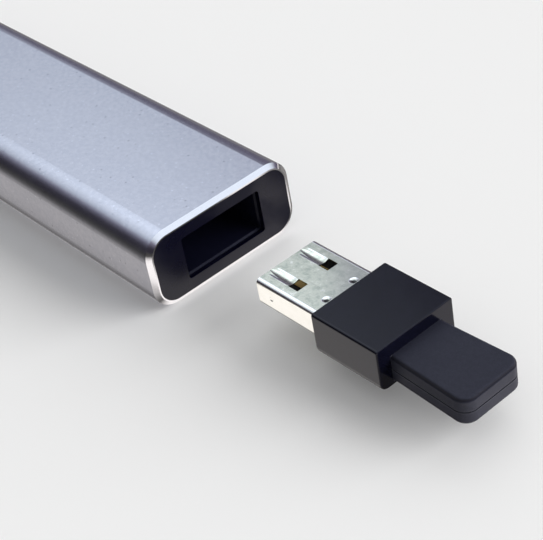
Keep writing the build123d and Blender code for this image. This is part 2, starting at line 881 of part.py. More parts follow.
def make_plug_shell():
    """Folded steel shell: seam, latch windows, coined ramps and pressed dimples."""
    root_x = block_front_x - plug_root_depth
    shell = along_x(plug_profile(0), root_x, plug_tip_x)
    tip = shell.faces().sort_by(Axis.X)[-1]
    shell = chamfer(tip.edges(), plug_tip_bevel)
    shell -= along_x(plug_profile(plug_skin), root_x, plug_tip_x)
    window_x1 = plug_tip_x - plug_window_start
    window_mid_y = plug_window_inset + plug_window_width / 2
    for side in (1, -1):
        y = side * window_mid_y
        shell -= bar(
            window_x1 - plug_window_length, window_x1,
            y - plug_window_width / 2, y + plug_window_width / 2,
            mid_z - plug_height, mid_z + plug_height,
        )
        shell -= plug_ramp(window_x1, y)
        shell = press_dimple(shell, plug_tip_x - plug_dimple_start, side * plug_dimple_spread / 2)
        shell -= side_mark(side)
    seam = bar(
        root_x, plug_tip_x, -plug_seam / 2, plug_seam / 2, mid_z - plug_height, mid_z
    )
    return shell - seam


def plug_ramp(window_x1, y):
    """The trough coined into the plug's top, level at the tip and deepest at a latch window."""
    middle_z = mid_z + plug_height / 2 + plug_ramp_radius
    tip = Vector(plug_tip_x, y, middle_z)
    slope = Vector(window_x1, y, middle_z - plug_ramp_depth) - tip
    reach = plug_window_start + plug_window_length / 2
    return extrude(Plane(tip, z_dir=slope) * Circle(plug_ramp_radius), reach)


def press_dimple(shell, x, y):
    """Presses one round dimple down through the plug's top."""
    top = mid_z + plug_height / 2
    reach = (plug_dimple_radius**2 + plug_dimple_depth**2) / (2 * plug_dimple_depth)
    centre = Pos(x, y, top - plug_dimple_depth + reach)
    boss = centre * Sphere(reach + plug_skin)
    inside = bar(
        x - plug_height, x + plug_height, y - plug_height / 2, y + plug_height / 2,
        mid_z, top - plug_skin / 2,
    )
    return shell + (boss & inside) - centre * Sphere(reach)


def side_mark(side):
    """The round tool mark pressed into one side wall of the plug."""
    reach = (plug_side_mark_radius**2 + plug_side_mark_depth**2) / (2 * plug_side_mark_depth)
    y = side * (plug_width / 2 - plug_side_mark_depth + reach)
    return Pos(plug_tip_x - plug_side_mark_start, y, mid_z) * Sphere(reach)


def make_plug_tongue():
    """Insulating tongue in the lower half of the plug, grooved for its contacts."""
    x0 = block_front_x - plug_root_depth
    x1 = plug_tip_x - tongue_setback
    half = plug_width / 2 - plug_skin - tongue_gap
    tongue = bar(x0, x1, -half, half, tongue_top_z - tongue_thickness, tongue_top_z)
    tongue = chamfer(tongue.edges().filter_by(Axis.X).group_by(Axis.Z)[0], plug_skin)
    tongue = chamfer(tongue.edges().filter_by(Axis.Y).group_by(Axis.X)[-1], plug_skin)
    for y, setback in contact_places():
        tongue -= contact_strip(y, plug_tip_x - setback + tongue_gap, x0, tongue_gap)
    return tongue


def contact_places():
    """Each contact's place across the plug, and how far it stops short of the tip."""
    places = []
    for side in (1, -1):
        places.append((side * data_contact_offset, data_contact_setback))
        places.append((side * power_contact_offset, power_contact_setback))
    return places


def contact_strip(y, x1, x0, gap):
    """One contact's bar, or its groove, on the tongue."""
    half = contact_width / 2 + gap
    z0 = tongue_top_z - contact_sink
    return bar(x0, x1, y - half, y + half, z0, z0 + contact_thickness)


def make_plug_contacts():
    """Four spring contacts on the tongue, the outer pair longer, ending on the board."""
    x0 = block_front_x - plug_root_depth - contact_width
    strips = []
    for y, setback in contact_places():
        strip = contact_strip(y, plug_tip_x - setback, x0, 0)
        lead = strip.edges().filter_by(Axis.Y).sort_by(Axis.X)[-2:].sort_by(Axis.Z)[-1]
        strips.append(chamfer(lead, contact_sink).solid())
    return Compound(strips)


def block_profile(inset):
    """The block's section: crisp upper edges and well rounded lower ones, or one set in from it."""
    outline = Pos(0, mid_z) * Rectangle(block_width - 2 * inset, block_height - 2 * inset)
    by_height = outline.vertices().group_by(Axis.Y)
    outline = fillet(by_height[0], max(block_bottom_radius - inset, block_top_radius))
    return fillet(outline.vertices().group_by(Axis.Y)[-1], block_top_radius)


def make_receiver_sleeve():
    """Moulded block around the receiver's board, open at the plug end."""
    sleeve = along_x(block_profile(0), block_rear_x, block_front_x)
    rims = sleeve.faces().filter_by(Axis.X).edges()
    sleeve = fillet(rims, block_rim_radius)
    cavity_x0 = block_rear_x + block_rear_wall
    sleeve -= along_x(block_profile(block_wall), cavity_x0, block_front_x)
    board_z0 = receiver_board_top_z - receiver_board_thickness
    floor_z = mid_z - block_height / 2 + block_wall
    inner_y = block_width / 2 - block_wall
    for side in (1, -1):
        y0, y1 = sorted((side * inner_y, side * (inner_y - receiver_rail_width)))
        sleeve += bar(
            cavity_x0, block_front_x - plug_root_depth - fixed_gap,
            y0, y1, floor_z - block_wall / 2, board_z0,
        )
    neck = Pos(0, grip_mid_z) * Rectangle(
        grip_root_width + 2 * fixed_gap, grip_thickness + 2 * fixed_gap
    )
    return sleeve - along_x(neck, block_rear_x, cavity_x0)


def make_receiver_face():
    """Plate that closes the block round the plug."""
    x0 = block_front_x - block_face_thickness
    plate = along_x(block_profile(block_wall + fixed_gap), x0, block_front_x)
    hole = Pos(0, mid_z) * RectangleRounded(
        plug_width + 2 * fixed_gap, plug_height + 2 * fixed_gap, plug_corner_radius
    )
    return plate - along_x(hole, x0, block_front_x)


def make_receiver_board():
    """Small circuit board behind the plug, on the block's rails."""
    x1 = block_front_x - plug_root_depth - fixed_gap
    half = block_width / 2 - block_wall - receiver_board_play
    return bar(
        x1 - receiver_board_length, x1, -half, half,
        receiver_board_top_z - receiver_board_thickness, receiver_board_top_z,
    )


def make_receiver_chip():
    """Radio chip on the receiver's board."""
    middle = block_front_x - plug_root_depth - receiver_board_length / 2 - contact_width / 2
    half = receiver_chip_size / 2
    return bar(
        middle - half, middle + half, -half, half,
        receiver_board_top_z, receiver_board_top_z + receiver_chip_height,
    )


def grip_plan(inset):
    """The flared tab seen from above, or its outline set in."""
    x0 = block_rear_x - grip_length + inset
    root, end = grip_root_width / 2 - inset, grip_end_width / 2 - inset
    plan = make_face(
        Polyline((block_rear_x, root), (x0, end), (x0, -end), (block_rear_x, -root), close=True)
    )
    return fillet(plan.vertices().group_by(Axis.X)[0], grip_end_radius - inset)


def grip_slab(inset, half_height):
    """A slab of the tab's outline about its seam."""
    return extrude(Pos(0, 0, grip_mid_z - half_height) * grip_plan(inset), 2 * half_height)


def outer_edges(tab, side):
    """The tab's upper or lower rim, without the edge where it meets the block."""
    face = tab.faces().sort_by(side)[-1]
    return face.edges().filter_by(lambda edge: edge.center().X < block_rear_x - grip_skin)


def make_grip_body():
    """The whole hollow tab with its neck and the anchor that holds it inside the block."""
    tab = grip_slab(0, grip_thickness / 2)
    tab = fillet(outer_edges(tab, Axis.Z), grip_top_radius)
    tab = fillet(outer_edges(tab, -Axis.Z), grip_bottom_radius)
    tab -= grip_slab(grip_skin, grip_thickness / 2 - grip_skin)
    groove = grip_slab(0, grip_seam_width / 2) - grip_slab(grip_seam_depth, grip_seam_width / 2)
    tab -= groove
    wall_x1 = block_rear_x + block_rear_wall
    neck = Pos(0, grip_mid_z) * Rectangle(grip_root_width, grip_thickness)
    tab += along_x(neck, block_rear_x, wall_x1)
    floor_z = mid_z - block_height / 2 + block_wall + fixed_gap
    roof_z = grip_mid_z + grip_thickness / 2
    half = grip_root_width / 2
    anchor_x0 = wall_x1 + fixed_gap
    tab += bar(wall_x1, anchor_x0, -half, half, floor_z, roof_z)
    half += grip_anchor_margin
    return tab + bar(
        anchor_x0, anchor_x0 + grip_anchor_length, -half, half,
        floor_z, roof_z + grip_anchor_margin,
    )


def grip_posts(radius, z0, z1):
    """Two posts on the tab's centre line, for its pins, bosses or holes."""
    places = (grip_length / 2 - grip_pin_spread / 2, grip_length / 2 + grip_pin_spread / 2)
    first, second = [post(radius, block_rear_x - place, 0, z0, z1) for place in places]
    return first + second


def make_grip_upper():
    """Upper half shell of the tab, with two pins."""
    body = make_grip_body()
    reach = 2 * grip_length
    above = bar(
        block_rear_x - reach, block_rear_x + reach, -reach, reach, grip_mid_z, grip_mid_z + reach
    )
    roof_z = grip_mid_z + grip_thickness / 2 - grip_skin
    return (body & above) + grip_posts(grip_pin_radius, grip_mid_z - grip_pin_length, roof_z)


def make_grip_lower():
    """Lower half shell of the tab, with a socketed boss for each pin."""
    body = make_grip_body()
    reach = 2 * grip_length
    below = bar(
        block_rear_x - reach, block_rear_x + reach, -reach, reach, grip_mid_z - reach, grip_mid_z
    )
    floor_z = grip_mid_z - grip_thickness / 2 + grip_skin
    shell = (body & below) + grip_posts(2 * grip_pin_radius, floor_z, grip_mid_z)
    return shell - grip_posts(
        grip_pin_radius + grip_pin_gap, grip_mid_z - grip_pin_length - grip_pin_gap, grip_mid_z
    )


NODES = {
    "body_tube": make_body_tube,
    "tail_cap": make_tail_cap,
    "receiver_tray": make_receiver_tray,
    "receiver_magnet": make_receiver_magnet,
    "inner_frame": make_inner_frame,
    "battery_cell": make_battery_cell,
    "battery_tape": make_battery_tape,
    "cell_protector": make_cell_protector,
    "battery_leads": make_battery_leads,
    "battery_connector": make_battery_connector,
    "main_board": make_main_board,
    "board_screws": make_board_screws,
    "tact_switches": make_tact_switches,
    "radio_chip": make_radio_chip,
    "radio_crystal": make_radio_crystal,
    "board_capacitors": make_board_capacitors,
    "status_lamp": make_status_lamp,
    "light_pipe": make_light_pipe,
    "key_panel": make_key_panel,
    "page_down_key": lambda: make_page_key(page_down_x, 1),
    "page_down_plunger": lambda: make_plunger(page_down_x),
    "page_up_key": lambda: make_page_key(page_up_x, -1),
    "page_up_plunger": lambda: make_plunger(page_up_x),
    "laser_key": lambda: make_laser_key(laser_key_x),
    "laser_plunger": lambda: make_plunger(laser_key_x),
    "power_switch": make_power_switch,
    "power_lever": make_power_lever,
    "power_slider": make_power_slider,
    "port_shell": make_port_shell,
    "port_tongue": make_port_tongue,
    "laser_barrel": make_laser_barrel,
    "laser_lens": make_laser_lens,
    "laser_diode": make_laser_diode,
    "nose_cap": make_nose_cap,
    "nose_window": make_nose_window,
    "plug_shell": make_plug_shell,
    "plug_tongue": make_plug_tongue,
    "plug_contacts": make_plug_contacts,
    "receiver_sleeve": make_receiver_sleeve,
    "receiver_face": make_receiver_face,
    "receiver_board": make_receiver_board,
    "receiver_chip": make_receiver_chip,
    "grip_upper": make_grip_upper,
    "grip_lower": make_grip_lower,
}

os.makedirs("parts", exist_ok=True)
for name, make in NODES.items():
    export_step(make(), f"parts/{name}.step")
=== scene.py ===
"""Finishes, printed marks, studio and view of a slim presentation clicker with its radio receiver
pulled out of the tail. Everything is in metres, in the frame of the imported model: +X to the laser
nose, +Y to the left side, +Z out of the keys."""

import logging
import math
from dataclasses import dataclass
from enum import Enum
from typing import Callable, ClassVar, Union

import bmesh
import bpy
from mathutils import Matrix, Vector


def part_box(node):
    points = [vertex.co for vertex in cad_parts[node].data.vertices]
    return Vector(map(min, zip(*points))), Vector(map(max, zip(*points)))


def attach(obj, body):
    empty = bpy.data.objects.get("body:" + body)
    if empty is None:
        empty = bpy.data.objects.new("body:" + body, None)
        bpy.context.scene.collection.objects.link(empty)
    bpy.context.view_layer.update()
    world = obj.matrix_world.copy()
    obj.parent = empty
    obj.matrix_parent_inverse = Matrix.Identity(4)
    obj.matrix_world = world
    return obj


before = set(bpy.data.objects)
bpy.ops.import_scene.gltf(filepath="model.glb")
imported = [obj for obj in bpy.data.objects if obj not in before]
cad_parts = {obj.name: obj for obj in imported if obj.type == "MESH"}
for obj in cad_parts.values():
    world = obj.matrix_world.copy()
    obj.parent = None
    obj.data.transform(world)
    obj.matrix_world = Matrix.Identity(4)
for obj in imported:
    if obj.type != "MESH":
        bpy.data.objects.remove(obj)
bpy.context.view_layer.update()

Colour = tuple[float, float, float]
Socket = bpy.types.NodeSocket
Value = Union[Socket, float, tuple]
Stops = tuple[tuple[float, float], ...]

MM = 0.001
PIXELS_WIDE = 543
SENSOR_MM = 36.0

# A Mix node has sockets for every kind of value: these are its share and its two colours, and
# its mixed colour.
MIX_INPUTS = (0, 6, 7)
MIX_OUTPUT = 2

MADE: dict[str, bpy.types.Material] = {}

log = logging.getLogger("clicker")


class GrainRun(Enum):
    """The way in which a grain runs, as the scale of its pattern along X, Y and Z."""

    LENGTHWISE = (1.0, 14.0, 14.0)
    EVEN = (1.0, 1.0, 1.0)


class Tree:
    """Adds nodes to one node tree and joins them."""

    def __init__(self, tree: bpy.types.NodeTree) -> None:
        """Starts on the node tree of a material, a world or a group."""
        self.tree = tree

    def feed(self, socket: Socket, value: Value) -> None:
        """Gives an input its value.

        Args:
            socket: The input.
            value: A socket to link to it, or a constant to set.
        """
        if isinstance(value, Socket):
            self.tree.links.new(value, socket)
        else:
            socket.default_value = value

    def add(self, kind: str, inputs: dict[Union[str, int], Value], **settings: object) -> bpy.types.Node:
        """Adds one node.

        Args:
            kind: The node's type, without the leading "ShaderNode".
            inputs: What goes into each input, a socket to link or a constant to set.
            settings: Properties of the node itself.

        Returns:
            The new node.
        """
        node = self.tree.nodes.new("ShaderNode" + kind)
        for name, value in settings.items():
            setattr(node, name, value)
        for name, value in inputs.items():
            self.feed(node.inputs[name], value)
        return node

    def math(self, operation: str, a: Value, b: Value = 0.0, c: Value = 0.0) -> Socket:
        """Does one operation on up to three numbers, and returns its result."""
        return self.add("Math", {0: a, 1: b, 2: c}, operation=operation).outputs[0]

    def ramp(self, value: Value, low: Value, high: Value, start: Value = 0.0, end: Value = 1.0) -> Socket:
        """Maps a number smoothly, to start where it is low and to end where it is high."""
        inputs = {"Value": value, "From Min": low, "From Max": high, "To Min": start, "To Max": end}
        return self.add("MapRange", inputs, interpolation_type="SMOOTHSTEP").outputs["Result"]

    def curve(self, value: Value, stops: Stops) -> Socket:
        """Maps a number from 0 to 1 through a list of stops.

        Args:
            value: The number.
            stops: Pairs of a place from 0 to 1 and the level there, in rising order.

        Returns:
            The level.
        """
        node = self.add("ValToRGB", {"Fac": value})
        elements = node.color_ramp.elements
        elements[0].position, elements[1].position = stops[0][0], stops[-1][0]
        for place, _ in stops[1:-1]:
            elements.new(place)
        for element, (_, level) in zip(elements, stops):
            element.color = (level, level, level, 1.0)
        return node.outputs["Color"]

    def mix(self, share: Value, first: Value, second: Value) -> Socket:
        """Mixes two colours.

        Args:
            share: The share of the second colour.
            first: The first colour.
            second: The second colour.

        Returns:
            The mixed colour.
        """
        ends = [
            colour if isinstance(colour, Socket) else (*colour, 1.0) for colour in (first, second)
        ]
        inputs = dict(zip(MIX_INPUTS, (share, *ends)))
        return self.add("Mix", inputs, data_type="RGBA").outputs[MIX_OUTPUT]

    def group(self, group: bpy.types.NodeTree, inputs: dict[str, Value]) -> bpy.types.Node:
        """Places a shared group and gives its inputs their values."""
        return self.add("Group", inputs, node_tree=group)


def shared_group(
    name: str, inputs: dict[str, float], outputs: tuple[str, ...],
    fill: Callable[[Tree, dict[str, Socket]], tuple[Socket, ...]],
) -> bpy.types.NodeTree:
    """Makes a node group the first time it is asked for, and finds it again after that.

    Args:
        name: The group's name.
        inputs: Its number inputs and their defaults; a Vector input always comes first.
        outputs: Its number outputs.
        fill: Adds the nodes, and returns a socket for each output.

    Returns:
        The group.
    """
    found = bpy.data.node_groups.get(name)
    if found:
        return found
    group = bpy.data.node_groups.new(name, "ShaderNodeTree")
    group.interface.new_socket("Vector", in_out="INPUT", socket_type="NodeSocketVector")
    for title, default in inputs.items():
        made = group.interface.new_socket(title, in_out="INPUT", socket_type="NodeSocketFloat")
        made.default_value = default
    for title in outputs:
        group.interface.new_socket(title, in_out="OUTPUT", socket_type="NodeSocketFloat")
    entry = group.nodes.new("NodeGroupInput")
    leave = group.nodes.new("NodeGroupOutput")
    results = fill(Tree(group), {socket.name: socket for socket in entry.outputs if socket.name})
    for title, result in zip(outputs, results):
        group.links.new(result, leave.inputs[title])
    return group


def grain_group() -> bpy.types.NodeTree:
    """Blasted or moulded grain: fine pits over a coarser unevenness.

    Returns:
        The group.
    """
    coarser = 0.23
    fine_share = 0.7
    pit, crest = 0.36, 0.64

    def fill(tree: Tree, given: dict[str, Socket]) -> tuple[Socket, ...]:
        """Adds the grain's nodes.

        Args:
            tree: The group's nodes.
            given: The group's inputs.

        Returns:
            The mask of its crests, and its height.
        """
        place = given["Vector"]
        scale = tree.math("DIVIDE", 1.0, given["Size"])
        fine = tree.add(
            "TexNoise", {"Vector": place, "Scale": scale, "Detail": 3.0, "Roughness": 0.62}
        )
        coarse_scale = tree.math("MULTIPLY", scale, coarser)
        coarse = tree.add("TexNoise", {"Vector": place, "Scale": coarse_scale, "Detail": 2.0})
        height = tree.math(
            "ADD",
            tree.math("MULTIPLY", fine.outputs["Fac"], fine_share),
            tree.math("MULTIPLY", coarse.outputs["Fac"], 1.0 - fine_share),
        )
        return tree.ramp(height, pit, crest), height

    return shared_group("fine_grain", {"Size": 0.2 * MM}, ("Mask", "Height"), fill)


def speck_group() -> bpy.types.NodeTree:
    """Scattered round specks, such as flecks in a coating or dust.

    Returns:
        The group.
    """

    def fill(tree: Tree, given: dict[str, Socket]) -> tuple[Socket, ...]:
        """Adds the specks' nodes.

        Args:
            tree: The group's nodes.
            given: The group's inputs.

        Returns:
            Their mask.
        """
        scale = tree.math("DIVIDE", 1.0, given["Spacing"])
        cells = tree.add("TexVoronoi", {"Vector": given["Vector"], "Scale": scale, "Randomness": 1.0})
        chance = tree.add("SeparateColor", {"Color": cells.outputs["Color"]}).outputs[0]
        near = tree.ramp(cells.outputs["Distance"], given["Radius"], 0.0)
        return (tree.math("MULTIPLY", near, tree.math("LESS_THAN", chance, given["Share"])),)

    return shared_group("specks", {"Spacing": MM, "Radius": 0.2, "Share": 0.5}, ("Mask",), fill)


def handling_group() -> bpy.types.NodeTree:
    """Marks of handling: cloudy smudges, and fine scratches that run two ways.

    Returns:
        The group.
    """
    clean, smudged = 0.38, 0.66
    whole, scratched = 0.66, 0.74
    scratch_scale = 0.9
    ways = ((0.5, (60.0, 1.6, 1.6)), (-0.9, (1.9, 70.0, 1.9)))

    def fill(tree: Tree, given: dict[str, Socket]) -> tuple[Socket, ...]:
        """Adds the marks' nodes.

        Args:
            tree: The group's nodes.
            given: The group's inputs.

        Returns:
            The mask of the smudges, and that of the scratches.
        """
        place = given["Vector"]
        scale = tree.math("DIVIDE", 1.0, given["Size"])
        clouds = tree.add(
            "TexNoise", {"Vector": place, "Scale": scale, "Detail": 4.0, "Distortion": 0.6}
        )
        smudge = tree.ramp(clouds.outputs["Fac"], clean, smudged)
        scratches = []
        for turn, stretch in ways:
            turned = tree.add(
                "Mapping", {"Vector": place, "Rotation": (0.0, 0.0, turn), "Scale": stretch}
            ).outputs[0]
            line_scale = tree.math("MULTIPLY", scale, scratch_scale)
            lines = tree.add("TexNoise", {"Vector": turned, "Scale": line_scale, "Detail": 1.0})
            scratches.append(tree.ramp(lines.outputs["Fac"], whole, scratched))
        marked = tree.math("MULTIPLY", tree.math("MAXIMUM", *scratches), smudge)
        return smudge, marked

    return shared_group("handling_marks", {"Size": 12 * MM}, ("Smudge", "Scratch"), fill)


def rim_group() -> bpy.types.NodeTree:
    """Finds sharp rims, where a highlight is painted into the colour.

    Returns:
        The group.
    """
    flat, sharp = 0.995, 0.82

    def fill(tree: Tree, given: dict[str, Socket]) -> tuple[Socket, ...]:
        """Adds the rim's nodes.

        Args:
            tree: The group's nodes.
            given: The group's inputs.

        Returns:
            The rims' mask.
        """
        rounded = tree.add("Bevel", {"Radius": given["Radius"]}, samples=4)
        true = tree.add("NewGeometry", {})
        together = tree.add(
            "VectorMath", {0: rounded.outputs[0], 1: true.outputs["Normal"]}, operation="DOT_PRODUCT"
        )
        return (tree.ramp(together.outputs["Value"], flat, sharp),)

    return shared_group("rim_light", {"Radius": 0.1 * MM}, ("Mask",), fill)


@dataclass(frozen=True)
class Finish:
    """One finish: a colour with its grain, marks of handling, and gloss.

    Attributes:
        name: The material's name.
        colour: Its main colour, linear.
        shade: The colour in the pits of its grain.
        metallic: 1 for bare metal.
        roughness: Its roughness where it is clean.
        smudged: Its roughness where it is smudged.
        grain_size: Width of the grain's pits.
        grain_depth: Depth of the grain's pits.
        grain_run: The way in which the grain runs.
        scratch_depth: Depth of the scratches.
        specular: The shader's specular level.
        coat: Weight of a clear coat.
        coat_roughness: Its roughness.
        rim: How far sharp rims turn to the rims' colour.
        rim_colour: Colour of the highlight painted on sharp rims.
        rim_radius: Width of those rims.
    """

    name: str
    colour: Colour
    shade: Colour
    metallic: float = 0.0
    roughness: float = 0.5
    smudged: float = 0.56
    grain_size: float = 0.15 * MM
    grain_depth: float = 0.004 * MM
    grain_run: GrainRun = GrainRun.EVEN
    scratch_depth: float = 0.001 * MM
    specular: float = 0.5
    coat: float = 0.0
    coat_roughness: float = 0.08
    rim: float = 0.0
    rim_colour: Colour = (0.75, 0.76, 0.80)
    rim_radius: float = 0.08 * MM

    def material(self) -> bpy.types.Material:
        """Makes the material the first time it is asked for, and finds it again after that.

        Returns:
            The material.
        """
        if self.name in MADE:
            return MADE[self.name]
        made = MADE[self.name] = bpy.data.materials.new(self.name)
        made.use_nodes = True
        tree = Tree(made.node_tree)
        shader = made.node_tree.nodes["Principled BSDF"]
        self.set_constants(shader)
        place = tree.add("TexCoord", {}).outputs["Object"]
        drawn = tree.add("Mapping", {"Vector": place, "Scale": self.grain_run.value}).outputs[0]
        grain = tree.group(grain_group(), {"Vector": drawn, "Size": self.grain_size})
        marks = tree.group(handling_group(), {"Vector": place})
        colour = tree.mix(grain.outputs["Mask"], self.shade, self.colour)
        roughness = tree.ramp(marks.outputs["Smudge"], 0.0, 1.0, self.roughness, self.smudged)
        # Sharp rims turn towards the rim colour: a painted highlight.
        if self.rim:
            rim_highlights = tree.group(rim_group(), {"Radius": self.rim_radius})
            share = tree.math("MULTIPLY", rim_highlights.outputs["Mask"], self.rim)
            colour = tree.mix(share, colour, self.rim_colour)
        colour, roughness, metallic = self.dress(tree, place, colour, roughness)
        grain_height = tree.math("MULTIPLY", grain.outputs["Height"], self.grain_depth / MM)
        scratch_height = tree.math("MULTIPLY", marks.outputs["Scratch"], self.scratch_depth / MM)
        height = tree.math("SUBTRACT", grain_height, scratch_height)
        height = self.relief(tree, place, height)
        bump = tree.add("Bump", {"Height": height, "Distance": MM, "Strength": 1.0})
        tree.feed(shader.inputs["Base Color"], colour)
        tree.feed(shader.inputs["Roughness"], roughness)
        tree.feed(shader.inputs["Normal"], bump.outputs[0])
        if metallic is not None:
            tree.feed(shader.inputs["Metallic"], metallic)
        return made

    def set_constants(self, shader: bpy.types.Node) -> None:
        """Sets the shader's own values, which are the same all over the surface.

        Args:
            shader: The material's shader.
        """
        shader.inputs["Metallic"].default_value = self.metallic
        shader.inputs["Specular IOR Level"].default_value = self.specular
        shader.inputs["Coat Weight"].default_value = self.coat
        shader.inputs["Coat Roughness"].default_value = self.coat_roughness

    def dress(
        self, tree: Tree, place: Socket, colour: Socket, roughness: Socket
    ) -> tuple[Socket, Socket, Union[Socket, None]]:
        """Lets a finish change its colour, roughness and metal share from place to place."""
        return colour, roughness, None

    def relief(self, tree: Tree, place: Socket, height: Socket) -> Socket:
        """Lets a finish add to its relief, in millimetres."""
        return height


@dataclass(frozen=True)
class AnodisedAluminium(Finish):
    """Bead-blasted, anodised aluminium: cloudy, flecked, and polished on its cut lips.

    Attributes:
        lip_start: Distance from the middle of the tube at which its polished lips start.
        lip_colour: Colour of the cut metal there.
        lip_roughness: Roughness of the cut metal there.
        cloud: Size of the coating's cloudy patches.
        cloud_dark: Colour of the darker patches.
        cloud_share: How far the patches turn to that colour.
        cloud_turn: Values of the pattern between which the patches set in.
        fleck: Colour of the dark flecks.
        fleck_spacing: Distance between them.
        glint: Colour of the bright flecks.
        glint_spacing: Distance between them.
        speck_radius: Radius of the flecks, as a share of their distance.
        speck_share: Share of the places for flecks that have one.
    """

    lip_start: float = 0.0
    lip_colour: Colour = (0.93, 0.93, 0.95)
    lip_roughness: float = 0.14
    cloud: float = 0.7 * MM
    cloud_dark: Colour = (0.60, 0.62, 0.69)
    cloud_share: float = 0.45
    cloud_turn: tuple[float, float] = (0.66, 0.34)
    fleck: Colour = (0.46, 0.47, 0.52)
    fleck_spacing: float = 1.5 * MM
    glint: Colour = (0.86, 0.88, 0.94)
    glint_spacing: float = 1.1 * MM
    speck_radius: float = 0.20
    speck_share: float = 0.5

    def dress(
        self, tree: Tree, place: Socket, colour: Socket, roughness: Socket
    ) -> tuple[Socket, Socket, Union[Socket, None]]:
        """Adds clouds and flecks, and polishes the lips.

        Args:
            tree: The material's nodes.
            place: The object coordinates.
            colour: The grain's colour.
            roughness: The roughness with the marks of handling.

        Returns:
            The colour, the roughness and, where it varies, the metal share.
        """
        clouds = tree.add("TexNoise", {"Vector": place, "Scale": 1.0 / self.cloud, "Detail": 5.0})
        dark = tree.ramp(clouds.outputs["Fac"], *self.cloud_turn)
        colour = tree.mix(tree.math("MULTIPLY", dark, self.cloud_share), colour, self.cloud_dark)
        for tone, spacing in ((self.fleck, self.fleck_spacing), (self.glint, self.glint_spacing)):
            inputs = {
                "Vector": place, "Spacing": spacing, "Radius": self.speck_radius,
                "Share": self.speck_share,
            }
            colour = tree.mix(tree.group(speck_group(), inputs).outputs["Mask"], colour, tone)
        along = tree.math("ABSOLUTE", tree.add("SeparateXYZ", {"Vector": place}).outputs["X"])
        lip = tree.math("GREATER_THAN", along, self.lip_start)
        colour = tree.mix(lip, colour, self.lip_colour)
        return colour, tree.ramp(lip, 0.0, 1.0, roughness, self.lip_roughness), None


